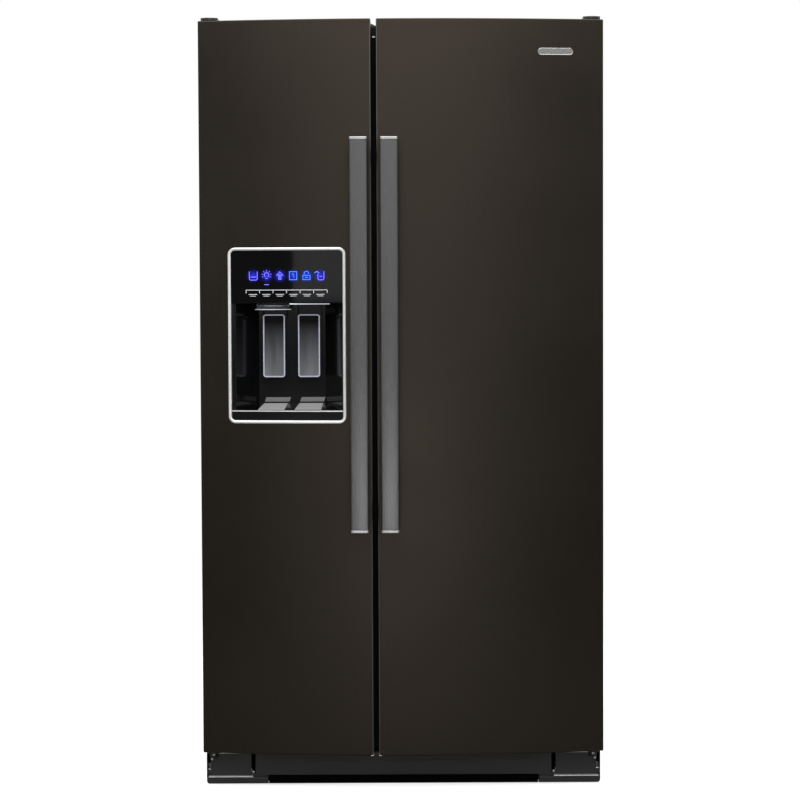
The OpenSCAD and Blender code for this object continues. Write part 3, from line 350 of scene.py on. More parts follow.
def screw(bm, spot, direction, radius=0.0042, height=0.0022):
    """A pan-head screw with a cross recess, its head's underside at the spot."""
    turn = Vector(direction).to_track_quat("Z", "Y")
    sides = 20
    profile = [(radius, 0.0), (radius, height * 0.35), (radius * 0.86, height * 0.78), (radius * 0.6, height)]
    profile += [(radius * 0.42, height * 1.02), (radius * 0.36, height * 0.55)]
    rings = []
    for reach, h in profile:
        ring = []
        for i in range(sides):
            a = 2 * math.pi * i / sides
            pinch = 1.0 if h < height or i % 5 else 0.55
            ring.append(Vector(spot) + turn @ Vector((reach * pinch * math.cos(a), reach * pinch * math.sin(a), h)))
        rings.append(ring)
    loft(bm, rings)


def tidy(mesh, smooth):
    """Smooth shading with sharp edges where faces meet at more than the angle."""
    mesh.shade_smooth()
    mesh.set_sharp_from_angle(angle=math.radians(smooth))


def piece(name, bm, material, body, smooth=32.0, outward=True):
    """Turns built geometry into a piece that rides on a body."""
    if outward:
        bmesh.ops.recalc_face_normals(bm, faces=bm.faces)
    mesh = bpy.data.meshes.new(name)
    bm.to_mesh(mesh)
    bm.free()
    mesh.materials.append(material)
    tidy(mesh, smooth)
    obj = bpy.data.objects.new(name, mesh)
    bpy.context.scene.collection.objects.link(obj)
    even = obj.modifiers.new("even_flats", "WEIGHTED_NORMAL")
    even.keep_sharp = True
    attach(obj, body)
    return obj


def thicken(bm, thickness):
    """Gives an open surface its thickness, behind the outer face."""
    bmesh.ops.recalc_face_normals(bm, faces=bm.faces)
    front = min(bm.faces, key=lambda face: face.calc_center_median().y)
    if front.normal.y > 0:
        bmesh.ops.reverse_faces(bm, faces=bm.faces)
    bmesh.ops.solidify(bm, geom=bm.faces[:] + bm.edges[:] + bm.verts[:], thickness=thickness)


# ---- Materials ----


def new_material(name):
    """A material with its node tree and its shader."""
    mat = bpy.data.materials.new(name)
    mat.use_nodes = True
    return mat, mat.node_tree, mat.node_tree.nodes["Principled BSDF"]


def add(tree, kind, **values):
    """A node with its input sockets set by name."""
    node = tree.nodes.new(kind)
    for key, value in values.items():
        node.inputs[key.replace("_", " ")].default_value = value
    return node


def noise(tree, scale, detail=3.0, roughness=0.55):
    """Noise stretched by an (x, y, z) scale in the frame's metres."""
    place = tree.nodes.new("ShaderNodeTexCoord")
    stretch = add(tree, "ShaderNodeMapping", Scale=scale)
    texture = add(tree, "ShaderNodeTexNoise", Scale=1.0, Detail=detail, Roughness=roughness)
    tree.links.new(place.outputs["Object"], stretch.inputs["Vector"])
    tree.links.new(stretch.outputs["Vector"], texture.inputs["Vector"])
    return texture.outputs["Fac"]


def spread(tree, source, from_range, to_range):
    """Maps a value from one range to another."""
    node = tree.nodes.new("ShaderNodeMapRange")
    for key, value in zip(("From Min", "From Max", "To Min", "To Max"), from_range + to_range):
        node.inputs[key].default_value = value
    tree.links.new(source, node.inputs["Value"])
    return node.outputs["Result"]


def blend_colour(tree, source, first, second):
    """Goes from the first colour to the second with a value."""
    node = tree.nodes.new("ShaderNodeMix")
    node.data_type = "RGBA"
    tree.links.new(source, node.inputs["Factor"])
    node.inputs[6].default_value = (*first, 1.0)
    node.inputs[7].default_value = (*second, 1.0)
    return node.outputs[2]


def shades(rgb, amount):
    """A darker and a lighter shade of a colour."""
    return [min(1.0, c * (1 - amount)) for c in rgb], [min(1.0, c * (1 + amount)) for c in rgb]


def surface(name, rgb, roughness, grain, metallic=0.0, tone=0.08, gloss_spread=0.06, relief=0.0, mottle=5.0, **fixed):
    """A finish whose colour, gloss and relief vary with a fine grain and a broad mottle.

    grain is the (x, y, z) scale of the grain; fixed are sockets that are the same all over.
    """
    mat, tree, shader = new_material(name)
    fine = noise(tree, grain)
    broad = noise(tree, (mottle, mottle, mottle), 2.0)
    dark, light = shades(rgb, tone)
    mixed = blend_colour(tree, spread(tree, fine, (0.3, 0.7), (0.0, 1.0)), dark, light)
    tree.links.new(mixed, shader.inputs["Base Color"])
    both = tree.nodes.new("ShaderNodeMath")
    both.operation = "ADD"
    tree.links.new(spread(tree, fine, (0.3, 0.7), (-gloss_spread, gloss_spread)), both.inputs[0])
    tree.links.new(
        spread(tree, broad, (0.35, 0.65), (roughness - gloss_spread * 0.5, roughness + gloss_spread * 0.5)), both.inputs[1]
    )
    tree.links.new(both.outputs[0], shader.inputs["Roughness"])
    if relief:
        bump = tree.nodes.new("ShaderNodeBump")
        bump.inputs["Strength"].default_value = 1.0
        bump.inputs["Distance"].default_value = relief
        tree.links.new(fine, bump.inputs["Height"])
        tree.links.new(bump.outputs["Normal"], shader.inputs["Normal"])
    shader.inputs["Metallic"].default_value = metallic
    for key, value in fixed.items():
        shader.inputs[key.replace("_", " ")].default_value = value
    return mat


FINE = (900.0, 900.0, 900.0)
ORANGE_PEEL = (420.0, 420.0, 420.0)
UPRIGHT_BRUSH = (3200.0, 3200.0, 14.0)
LEVEL_BRUSH = (14.0, 2600.0, 2600.0)

_made = {}


def finish(slot):
    """The material of one of the record's slots, made the first time it is asked for."""
    if slot not in _made:
        _made[slot] = FINISHES[slot]()
    return _made[slot]


def black_stainless():
    return surface("black_stainless", doors().steel, 0.36, UPRIGHT_BRUSH, 1.0, 0.10, 0.05, 0.0000025, 3.0)


def handle_metal():
    return surface("handle_metal", handles().steel, 0.28, UPRIGHT_BRUSH, 1.0, 0.07, 0.025, 0.0000015, 4.0)


def bright_trim():
    return surface("bright_trim", (0.86, 0.865, 0.86), 0.3, UPRIGHT_BRUSH, 0.6, 0.02, 0.04, 0.0, 6.0)


def end_metal():
    """Satin metal of the handles' end pieces and the badge."""
    if "end_metal" not in _made:
        _made["end_metal"] = surface("end_metal", (0.45, 0.45, 0.445), 0.28, LEVEL_BRUSH, 1.0, 0.06, 0.05, 0.0, 6.0)
    return _made["end_metal"]


def bend_steel():
    """Door steel on the rounded inner upright edges, lighter than the rest: a painted highlight of the light these
    edges catch.
    """
    if "bend_steel" not in _made:
        _made["bend_steel"] = surface("bend_steel", (0.24, 0.235, 0.225), 0.34, UPRIGHT_BRUSH, 1.0, 0.1, 0.05, 0.0, 8.0)
    return _made["bend_steel"]


def black_glass():
    return surface(
        "black_glass", (0.0016, 0.0016, 0.002), 0.05, FINE, 0.0, 0.1, 0.012, 0.0, 9.0, Specular_IOR_Level=0.26
    )


def recess_plastic():
    return surface(
        "recess_plastic", (0.0045, 0.0047, 0.005), 0.11, ORANGE_PEEL, 0.0, 0.1, 0.03, 0.0000015, 7.0,
        Specular_IOR_Level=0.28,
    )


def tray_plastic():
    return surface("tray_plastic", (0.003, 0.003, 0.0035), 0.1, ORANGE_PEEL, 0.0, 0.1, 0.03, 0.000001, 7.0)


def smoke_plastic():
    return surface(
        "smoke_plastic", (0.42, 0.43, 0.47), 0.12, FINE, 0.0, 0.03, 0.03, 0.0, 9.0, Transmission_Weight=0.85, IOR=1.49
    )


def cabinet_paint():
    return surface("cabinet_paint", (0.045, 0.042, 0.040), 0.42, ORANGE_PEEL, 0.0, 0.08, 0.05, 0.00006, 4.0)


def grille_plastic():
    return surface("grille_plastic", (0.0135, 0.0138, 0.0145), 0.4, FINE, 0.0, 0.12, 0.06, 0.00002, 8.0)


def galvanised_steel():
    return surface("galvanised_steel", (0.42, 0.43, 0.44), 0.42, (60.0, 60.0, 60.0), 0.85, 0.12, 0.1, 0.000004, 12.0)


def bright_steel():
    return surface("bright_steel", (0.52, 0.52, 0.53), 0.3, LEVEL_BRUSH, 1.0, 0.08, 0.08, 0.000003, 12.0)


def black_paint():
    return surface("black_paint", (0.012, 0.012, 0.014), 0.22, ORANGE_PEEL, 0.0, 0.1, 0.05, 0.00003, 9.0)


def foam():
    return surface("foam", (0.78, 0.68, 0.42), 0.85, (220.0, 220.0, 220.0), 0.0, 0.12, 0.05, 0.0003, 14.0)


def white_plastic():
    return surface("white_plastic", (0.76, 0.78, 0.785), 0.28, ORANGE_PEEL, 0.0, 0.015, 0.04, 0.00001, 3.0)


def white_wire():
    return surface("white_wire", (0.82, 0.83, 0.83), 0.32, ORANGE_PEEL, 0.0, 0.02, 0.05, 0.00001, 9.0)


def roller_plastic():
    return surface("roller_plastic", (0.02, 0.02, 0.022), 0.5, FINE, 0.0, 0.12, 0.06, 0.00002, 12.0)


def motor_grey():
    return surface("motor_grey", (0.10, 0.11, 0.12), 0.45, FINE, 0.0, 0.1, 0.05, 0.00001, 12.0)


def fan_plastic():
    return surface("fan_plastic", (0.30, 0.31, 0.32), 0.4, FINE, 0.0, 0.06, 0.05, 0.00001, 12.0)


def valve_plastic():
    return surface("valve_plastic", (0.66, 0.67, 0.68), 0.34, FINE, 0.0, 0.03, 0.05, 0.00001, 12.0)


def black_rubber():
    return surface("black_rubber", (0.012, 0.012, 0.013), 0.62, FINE, 0.0, 0.15, 0.08, 0.00003, 12.0)


def fin_aluminium():
    return surface("fin_aluminium", (0.62, 0.64, 0.65), 0.3, LEVEL_BRUSH, 1.0, 0.06, 0.06, 0.000002, 12.0)


def gasket_vinyl():
    return surface("gasket_vinyl", (0.03, 0.031, 0.034), 0.5, FINE, 0.0, 0.08, 0.06, 0.00001, 12.0)


def shelf_glass():
    return surface(
        "shelf_glass", (0.86, 0.95, 0.93), 0.03, FINE, 0.0, 0.01, 0.015, 0.0, 6.0, Transmission_Weight=1.0, IOR=1.5
    )


def clear_bin():
    return surface(
        "clear_bin", (0.88, 0.93, 0.95), 0.08, ORANGE_PEEL, 0.0, 0.01, 0.03, 0.0, 5.0, Transmission_Weight=0.9, IOR=1.49
    )


# The rim's pale emission is a painted glow of light on the clear plastic; the paddles hold no lamp.
def paddle_plastic():
    return surface(
        "paddle_plastic", (0.40, 0.40, 0.48), 0.26, FINE, 0.0, 0.3, 0.06, 0.0, 30.0,
        Emission_Color=(0.55, 0.56, 0.72, 1.0), Emission_Strength=0.22,
    )


FINISHES = {
    make.__name__: make
    for make in (
        black_stainless, handle_metal, bright_trim, black_glass, recess_plastic, tray_plastic, smoke_plastic,
        cabinet_paint, grille_plastic, galvanised_steel, bright_steel, black_paint, foam, white_plastic, white_wire,
        roller_plastic, motor_grey, fan_plastic, valve_plastic, black_rubber, fin_aluminium, gasket_vinyl,
        shelf_glass, clear_bin, paddle_plastic,
    )
}


def lamp_material(name, rgb, strength):
    """A lit diffuser, a little brighter and dimmer along its length."""
    mat, tree, shader = new_material(name)
    light = noise(tree, (18.0, 18.0, 18.0), 2.0)
    tree.links.new(spread(tree, light, (0.3, 0.7), (strength * 0.88, strength)), shader.inputs["Emission Strength"])
    shader.inputs["Emission Color"].default_value = (*rgb, 1.0)
    shader.inputs["Base Color"].default_value = (*rgb, 1.0)
    shader.inputs["Roughness"].default_value = 0.4
    return mat


def symbol_material(middle, s):
    """Lit symbols, violet at the panel's ends and bluer right of its middle."""
    mat, tree, shader = new_material("symbol_glow")
    place = tree.nodes.new("ShaderNodeTexCoord")
    split = tree.nodes.new("ShaderNodeSeparateXYZ")
    tree.links.new(place.outputs["Object"], split.inputs[0])
    off = tree.nodes.new("ShaderNodeMath")
    off.operation = "SUBTRACT"
    off.inputs[1].default_value = middle + s.symbol_pitch
    tree.links.new(split.outputs["X"], off.inputs[0])
    size = tree.nodes.new("ShaderNodeMath")
    size.operation = "ABSOLUTE"
    tree.links.new(off.outputs[0], size.inputs[0])
    bluer = spread(tree, size.outputs[0], (s.symbol_pitch * 0.7, s.symbol_pitch * 1.7), (1.0, 0.0))
    tree.links.new(blend_colour(tree, bluer, s.glow, s.glow_blue), shader.inputs["Emission Color"])
    light = noise(tree, (90.0, 90.0, 90.0), 2.0)
    power = spread(tree, light, (0.3, 0.7), (s.glow_strength * 0.85, s.glow_strength * 1.1))
    tree.links.new(power, shader.inputs["Emission Strength"])
    shader.inputs["Base Color"].default_value = (0.0, 0.0, 0.02, 1.0)
    return mat


def halo_material():
    """Light that spreads in the glass round a lit symbol and fades to nothing."""
    mat, tree, shader = new_material("symbol_halo")
    place = tree.nodes.new("ShaderNodeUVMap")
    size = tree.nodes.new("ShaderNodeVectorMath")
    size.operation = "LENGTH"
    tree.links.new(place.outputs["UV"], size.inputs[0])
    fade = spread(tree, size.outputs["Value"], (0.1, 1.0), (1.0, 0.0))
    power = tree.nodes.new("ShaderNodeMath")
    power.operation = "POWER"
    power.inputs[1].default_value = 1.9
    tree.links.new(fade, power.inputs[0])
    shine = tree.nodes.new("ShaderNodeMath")
    shine.operation = "MULTIPLY"
    shine.inputs[1].default_value = 0.8
    tree.links.new(power.outputs[0], shine.inputs[0])
    tree.links.new(shine.outputs[0], shader.inputs["Alpha"])
    shader.inputs["Base Color"].default_value = (0.0, 0.0, 0.01, 1.0)
    shader.inputs["Emission Color"].default_value = (0.01, 0.015, 0.9, 1.0)
    shader.inputs["Emission Strength"].default_value = 1.0
    return mat


def painted_glow_lens_material():
    """Smoked plastic that gets paler and glows more towards the paddle's foot: a painted glow, brightest at the foot.
    """
    mat, tree, shader = new_material("paddle_lens")
    place = tree.nodes.new("ShaderNodeTexCoord")
    split = tree.nodes.new("ShaderNodeSeparateXYZ")
    tree.links.new(place.outputs["Object"], split.inputs[0])
    foot, top = low("ice_paddle").z, high("ice_paddle").z
    rise = spread(tree, split.outputs["Z"], (foot, top - (top - foot) * 0.12), (1.0, 0.0))
    fine = noise(tree, (60.0, 60.0, 8.0), 2.0)
    both = tree.nodes.new("ShaderNodeMath")
    both.operation = "MULTIPLY"
    tree.links.new(rise, both.inputs[0])
    tree.links.new(spread(tree, fine, (0.3, 0.7), (0.75, 1.15)), both.inputs[1])
    mixed = blend_colour(tree, both.outputs[0], (0.001, 0.001, 0.0014), (0.06, 0.06, 0.064))
    tree.links.new(mixed, shader.inputs["Base Color"])
    shader.inputs["Specular IOR Level"].default_value = 0.08
    tree.links.new(spread(tree, fine, (0.3, 0.7), (0.12, 0.2)), shader.inputs["Roughness"])
    # Painted glow: emission that follows the paler shade towards the foot.
    glow = tree.nodes.new("ShaderNodeMath")
    glow.operation = "MULTIPLY"
    glow.inputs[1].default_value = 0.105
    tree.links.new(both.outputs[0], glow.inputs[0])
    tree.links.new(glow.outputs[0], shader.inputs["Emission Strength"])
    shader.inputs["Emission Color"].default_value = (0.9, 0.92, 1.0, 1.0)
    return mat


# ---- Pieces ----

PIECES = []


def builder(cls):
    """Lists an operator for the panel, in the order of making."""
    PIECES.append(cls)
    return cls


@builder
class FRIDGE_OT_finishes(bpy.types.Operator):
    """Give every part of the frame its finish and soften its edges"""

    bl_idname = "fridge.finishes"
    bl_label = "Finishes"

    # Parts whose flat rims run round an opening keep all their edges.
    ringed = ("front_frame", "freezer_liner", "fridge_liner", "freezer_door_liner", "fridge_door_liner")

    # Edge softening in metres; parts that aren't named here get the usual one.
    usual = 0.0008
    edges = {
        "cabinet_wrapper": 0.0012, "front_frame": 0.0005, "cabinet_back": 0.0003, "rear_access_cover": 0.0005,
        "freezer_liner": 0.0015, "fridge_liner": 0.0015, "freezer_door_liner": 0.002, "fridge_door_liner": 0.002,
        "hinge_covers": 0.0018, "condenser": 0.0002, "evaporator": 0.0002, "condenser_fan": 0.0004,
        "evaporator_fan": 0.0004, "icemaker": 0.002, "water_filter": 0.0015, "dispenser_housing": 0.001,
        "freezer_door_foam": 0.0024, "fridge_door_foam": 0.0024, "evaporator_cover": 0.001, "ice_bin": 0.0012,
        "freezer_basket": 0.0012,
    }

    def execute(self, context):
        for row in frame["record"]["subparts"]:
            node = frame["nodes"][row["node"]]
            node.data.materials.clear()
            node.data.materials.append(finish(row["material_slot"]))
            weld = node.modifiers.new("weld", "WELD")
            weld.merge_threshold = 1e-5
            if row["node"] not in self.ringed:
                flat = node.modifiers.new("flat", "DECIMATE")
                flat.decimate_type = "DISSOLVE"
                flat.angle_limit = math.radians(0.3)
            soft = node.modifiers.new("edges", "BEVEL")
            soft.width = self.edges.get(row["node"], self.usual)
            soft.segments = 2
            soft.limit_method = "ANGLE"
            soft.angle_limit = math.radians(38)
            soft.harden_normals = True
        frame["nodes"]["bottom_hinges"].data.materials[0] = finish("black_paint")
        frame["nodes"]["front_frame"].data.materials[0] = surface(
            "front_frame_paint", (0.0035, 0.0035, 0.004), 0.55, ORANGE_PEEL, 0.0, 0.1, 0.05, 0.00004, 4.0,
            Specular_IOR_Level=0.12,
        )
        return {"FINISHED"}


def door_plan(bow, x, back, radius, inset, angles):
    """The door's plan from its back corner round the bowed front to the other, moved in."""
    points = [(x[0] + inset, back)]
    ends = []
    for side, edge in ((1, x[0]), (-1, x[1])):
        cx = edge + side * radius
        cy = bow.middle - math.sqrt((bow.radius - radius) ** 2 - cx * cx)
        turn = math.atan2(cy - bow.middle, cx)
        ends.append((cx, cy, turn))
    steps = 5
    reach = radius - inset
    cx, cy, turn = ends[0]
    for i in range(steps):
        a = -math.pi + (turn + math.pi) * i / steps
        points.append((cx + reach * math.cos(a), cy + reach * math.sin(a)))
    points.extend(bow.point(a, inset) for a in angles)
    cx, cy, turn = ends[1]
    for i in range(1, steps + 1):
        a = turn - turn * i / steps
        points.append((cx + reach * math.cos(a), cy + reach * math.sin(a)))
    points.append((x[1] - inset, back))
    return points


def front_angles(bow, x, radius, breaks=()):
    """Angles across a door's front, with one at each break in x."""
    count = doors().front_steps
    first, last = bow.angle(x[0] + radius, radius), bow.angle(x[1] - radius, radius)
    angles = [first + (last - first) * i / count for i in range(count + 1)]
    for stop in breaks:
        exact = bow.angle(stop)
        nearest = min(range(1, count), key=lambda i: abs(angles[i] - exact))
        angles[nearest] = exact
    return angles


@builder
class FRIDGE_OT_door_skins(bpy.types.Operator):
    """Bowed steel skins with rounded upright edges and rolled ends, and the caps inside their ends"""

    bl_idname = "fridge.door_skins"
    bl_label = "Door Skins"

    def execute(self, context):
        bow, d = Bow(), doors()
        opening_over = 0.002
        hole_x = (
            low("dispenser_bezel").x + dispenser().frame_width - opening_over,
            high("dispenser_bezel").x - dispenser().frame_width + opening_over,
        )
        hole_z = (
            low("dispenser_bezel").z + dispenser().frame_width - opening_over,
            high("dispenser_bezel").z - dispenser().frame_width + opening_over,
        )
        for door in ("freezer_door", "fridge_door"):
            skin = door + "_skin"
            x, z = (low(skin).x, high(skin).x), (low(skin).z, high(skin).z)
            back = high(skin).y
            holed = door == "freezer_door"
            angles = front_angles(bow, x, d.side_radius, hole_x if holed else ())
            levels = rolled(z[0], z[1], d.roll, 4)
            half = len(levels) // 2
            if holed:
                levels = levels[:half] + [(h, 0.0) for h in hole_z] + levels[half:]
            rings = [
                [(px, py, h) for px, py in door_plan(bow, x, back, d.side_radius, inset, angles)] for h, inset in levels
            ]
            middle = [sum(p[0] for p in pair) / 2 for pair in zip(rings[half], rings[half][1:])]

            def in_hole(row, column, half=half, middle=middle, holed=holed):
                front = 5 < column < len(middle) - 6
                return holed and row == half and front and hole_x[0] < middle[column] < hole_x[1]

            bm = bmesh.new()
            loft(bm, rings, closed=False, caps=False, skip=in_hole)
            thicken(bm, d.sheet)
            inner, inward = (x[1], -1) if door == "freezer_door" else (x[0], 1)
            # The faces on the inner rounded edge get the lighter steel, a painted highlight of the light these edges
            # catch.
            highlight_faces = [
                face.index for face in self.numbered(bm)
                if 0.0001 < inward * (face.calc_center_median().x - inner) < d.side_radius * 0.8
                and face.calc_center_median().y < back - 0.03
            ]
            obj = piece(skin + "_panel", bm, finish("black_stainless"), door, 50.0)
            obj.data.materials.append(bend_steel())
            for index in highlight_faces:
                obj.data.polygons[index].material_index = 1
            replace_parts(obj, skin)
            self.caps(door, bow, x, z, back, angles)
        return {"FINISHED"}

    def numbered(self, bm):
        """The faces with their final numbers."""
        bm.faces.index_update()
        return bm.faces[:]

    def caps(self, door, bow, x, z, back, angles):
        """Moulded end caps inside the rolled ends of the skin, with a ring round each hinge pin."""
        d = doors()
        depth, sunk, bush = 0.012, 0.0006, 0.011
        inset = d.roll + 0.0002
        bm = bmesh.new()
        for inner, outer in ((z[0] + depth, z[0] + sunk), (z[1] - depth, z[1] - sunk)):
            bottom, top = min(inner, outer), max(inner, outer)
            plan = door_plan(bow, x, back - 0.0004, d.side_radius, inset, angles)
            loft(bm, [[(px, py, h) for px, py in plan] for h in (bottom, top)])
        pin = low("bottom_hinges").x if door == "freezer_door" else high("bottom_hinges").x
        pin -= math.copysign(0.016, pin)
        pin_y = back - 0.026
        rod(bm, (pin, pin_y, z[1] - depth), (pin, pin_y, z[1] - 0.0001), bush, 28, 0.0005)
        obj = piece(door + "_end_caps", bm, finish("grille_plastic"), door, 30.0)
        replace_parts(obj, door + "_caps")


@builder
class FRIDGE_OT_gaskets(bpy.types.Operator):
    """Soft magnetic gaskets with a bellows profile"""

    bl_idname = "fridge.gaskets"
    bl_label = "Gaskets"

    # The section as (distance in from the outer edge, height off the door), each as a share.
    section = (
        (0.03, 0.0), (0.0, 0.2), (0.1, 0.36), (0.02, 0.55), (0.06, 0.8), (0.18, 1.0), (0.82, 1.0),
        (0.94, 0.8), (0.98, 0.55), (0.9, 0.36), (1.0, 0.2), (0.97, 0.0),
    )

    def execute(self, context):
        width, corner = 0.016, 0.020
        for door in ("freezer_door", "fridge_door"):
            node = door.replace("_door", "_gasket")
            a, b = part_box(node)
            rings = []
            for share, rise in self.section:
                inset = share * width
                outline = rounded_rect((a.x + inset, b.x - inset), (a.z + inset, b.z - inset), corner - inset, 5)
                rings.append([(x, a.y + rise * (b.y - a.y), z) for x, z in outline])
            bm = bmesh.new()
            loop_loft(bm, rings)
            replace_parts(piece(node + "_seal", bm, finish("gasket_vinyl"), door, 60.0), node)
        return {"FINISHED"}


@builder
class FRIDGE_OT_handles(bpy.types.Operator):
    """Crowned bar handles on two posts, with bright end pieces"""

    bl_idname = "fridge.handles"
    bl_label = "Handles"

    def execute(self, context):
        bow, s = Bow(), handles()
        for door in ("freezer_door", "fridge_door"):
            node = door.replace("_door", "_handle")
            a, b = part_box(node)
            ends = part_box(node + "_ends")
            thick = ends[1].y - ends[0].y
            x, y = (a.x, b.x), (a.y, a.y + thick)
            mid, half = (a.x + b.x) / 2, (b.x - a.x) / 2

            def outline(inset, x=x, y=y, mid=mid, half=half):
                sides = (x[0] + inset, x[1] - inset), (y[0] + inset, y[1] - inset)
                flat = rounded_rect(*sides, s.edge_radius - inset, 5, 8)
                front = (y[0] + y[1]) / 2
                return [(u, v + (s.crown * ((u - mid) / half) ** 2 if v < front else 0.0)) for u, v in flat]

            bm = bmesh.new()
            loft(bm, slab_rings(outline, rolled(a.z + s.groove, b.z - s.groove, 0.0006, 2), upright))
            for foot in (ends[0].z + s.post_inset, ends[1].z - s.post_inset - s.post_height):
                self.post(bm, bow, mid, foot, y[1])
            obj = piece(node + "_bar", bm, finish("handle_metal"), door, 28.0)
            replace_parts(obj, node)
            bm = bmesh.new()
            for z in ((ends[0].z, a.z), (b.z, ends[1].z)):
                loft(bm, slab_rings(outline, rolled(z[0], z[1], 0.0012, 3), upright))
            obj = piece(node + "_end_pieces", bm, end_metal(), door, 28.0)
            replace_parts(obj, node + "_ends")
        return {"FINISHED"}

    def post(self, bm, bow, mid, foot, back_of_bar):
        """A post with a narrow foot flange against the door."""
        s = handles()
        corner, flange, flange_t = 0.007, 0.002, 0.003
        x = (mid - s.post_width / 2, mid + s.post_width / 2)
        z = (foot, foot + s.post_height)
        face = bow.y(mid)
        levels = [
            (back_of_bar - 0.002, 0.0), (face - flange_t - 0.003, 0.0), (face - flange_t - 0.001, -flange * 0.35),
            (face - flange_t, -flange * 0.9), (face - flange_t + 0.0006, -flange), (face + 0.0005, -flange),
        ]

        def outline(inset):
            return rounded_rect((x[0] + inset, x[1] - inset), (z[0] + inset, z[1] - inset), corner - inset, 6)

        loft(bm, slab_rings(outline, levels, facing))


def opening():
    """The dispenser's opening: its (x, z) ranges inside the bright frame."""
    a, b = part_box("dispenser_bezel")
    w = dispenser().frame_width
    return (a.x + w, b.x - w), (a.z + w, b.z - w)


@builder
class FRIDGE_OT_dispenser_surround(bpy.types.Operator):
    """Bright rounded frame round the dispenser, following the door's bow"""

    bl_idname = "fridge.dispenser_surround"
    bl_label = "Dispenser Surround"

    # Section as (share of the frame's width outside the opening, height off the door in metres).
    section = (
        (1.0, -0.0004), (1.0, 0.0009), (0.95, 0.0017), (0.84, 0.0023), (0.68, 0.0026), (0.45, 0.0026),
        (0.25, 0.0023), (0.1, 0.0016), (0.02, 0.0006), (0.0, -0.0006), (0.0, -0.0125), (0.24, -0.0125), (0.3, -0.0004),
    )

    def execute(self, context):
        bow, s = Bow(), dispenser()
        x, z = opening()
        rings = []
        for share, proud in self.section:
            out = share * s.frame_width
            outline = rounded_rect((x[0] - out, x[1] + out), (z[0] - out, z[1] + out), s.corner + out, 8, 14)
            rings.append([(u, bow.y(u) - proud, v) for u, v in outline])
        bm = bmesh.new()
        loop_loft(bm, rings)
        obj = piece("dispenser_frame", bm, finish("bright_trim"), "freezer_door", 40.0)
        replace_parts(obj, "dispenser_bezel")
        return {"FINISHED"}


def stroke_points(points, width, closed=False):
    """Left and right edges of a line of one width, mitred at its corners."""
    left, right = [], []
    count = len(points)
    for i, p in enumerate(points):
        before = points[i - 1] if closed or i else None
        after = points[(i + 1) % count] if closed or i < count - 1 else None
        into = Vector((p[0] - before[0], p[1] - before[1])).normalized() if before else None
        out = Vector((after[0] - p[0], after[1] - p[1])).normalized() if after else None
        into, out = into or out, out or into
        mean = (into + out).normalized()
        side = Vector((-mean.y, mean.x))
        reach = width / 2 / max(0.4, side.dot(Vector((-out.y, out.x))))
        left.append((p[0] + side.x * reach, p[1] + side.y * reach))
        right.append((p[0] - side.x * reach, p[1] - side.y * reach))
    return left, right


class Inlay:
    """Flat marks that lie on the bowed glass, raised by a hair."""

    def __init__(self, bow, x, z, raised, thick=0.0003, scale=1.0):
        self.bow, self.x, self.z, self.raised, self.thick, self.scale = bow, x, z, raised, thick, scale
        self.bm = bmesh.new()

    def put(self, u, v, lift):
        x = self.x + u * self.scale
        return (x, self.bow.y(x) - self.raised - lift, self.z + v * self.scale)

    def plate(self, outline):
        """A thin plate with the given outline, anticlockwise from the front."""
        loft(self.bm, [[self.put(u, v, lift) for u, v in outline] for lift in (0.0, self.thick)])

    def line(self, points, width, closed=False):
        left, right = stroke_points(points, width, closed)
        count = len(points)
        for i in range(count if closed else count - 1):
            j = (i + 1) % count
            self.plate([right[i], right[j], left[j], left[i]])

    def ring(self, u, v, radius, width, start=0.0, end=360.0, steps=18):
        arc = [
            (
                u + radius * math.cos(math.radians(start + (end - start) * i / steps)),
                v + radius * math.sin(math.radians(start + (end - start) * i / steps)),
            )
            for i in range(steps + 1)
        ]
        if end - start >= 360:
            self.line(arc[:-1], width, True)
        else:
            self.line(arc, width)


def glass_symbol(ink, w):
    cup = [(-7, 7.5), (-7, -5.5), (-5, -7.5), (5, -7.5), (7, -5.5), (7, 7.5)]
    ink.line([(u * MM, v * MM) for u, v in cup], w)
    ink.line([(-5.2 * MM, -2.2 * MM), (5.2 * MM, -2.2 * MM)], w)


def lamp_symbol(ink, w):
    ink.ring(0, 1.4 * MM, 3.9 * MM, w, -55, 235)
    ink.line([(-2.3 * MM, -4.6 * MM), (2.3 * MM, -4.6 * MM)], w)
    for turn in (-25, 10, 50, 90, 130, 170, 205):
        a = math.radians(turn)
        ends = [(r * math.cos(a), 1.4 * MM + r * math.sin(a)) for r in (6.2 * MM, 8.6 * MM)]
        ink.line(ends, w * 0.85)
    ink.line([(-4 * MM, -15.5 * MM), (4 * MM, -15.5 * MM)], w)


def fast_symbol(ink, w):
    arrow = [(-5.6, 0.8), (0, 7.0), (5.6, 0.8), (2.0, 1.6), (2.0, -6.4), (-2.0, -6.4), (-2.0, 1.6)]
    ink.line([(u * MM, v * MM) for u, v in arrow], w * 0.9, True)
    ink.line([(0, -4.6 * MM), (0, 3.4 * MM)], w)


def cube_symbol(ink, w):
    square = [(-6.4, -7), (6.4, -7), (6.4, 7), (-6.4, 7)]
    ink.line([(u * MM, v * MM) for u, v in square], w, True)
    ink.line([(-2.6 * MM, 2.6 * MM), (0.4 * MM, 3.4 * MM), (1.6 * MM, -3.6 * MM)], w * 0.8)


def lock_symbol(ink, w):
    body = [(-6.4, -7), (6.4, -7), (6.4, 0.6), (-6.4, 0.6)]
    ink.line([(u * MM, v * MM) for u, v in body], w, True)
    ink.line([(-3 * MM, -3.2 * MM), (3 * MM, -3.2 * MM)], w)
    ink.ring(0, 3.4 * MM, 4.2 * MM, w, 0, 200, 12)


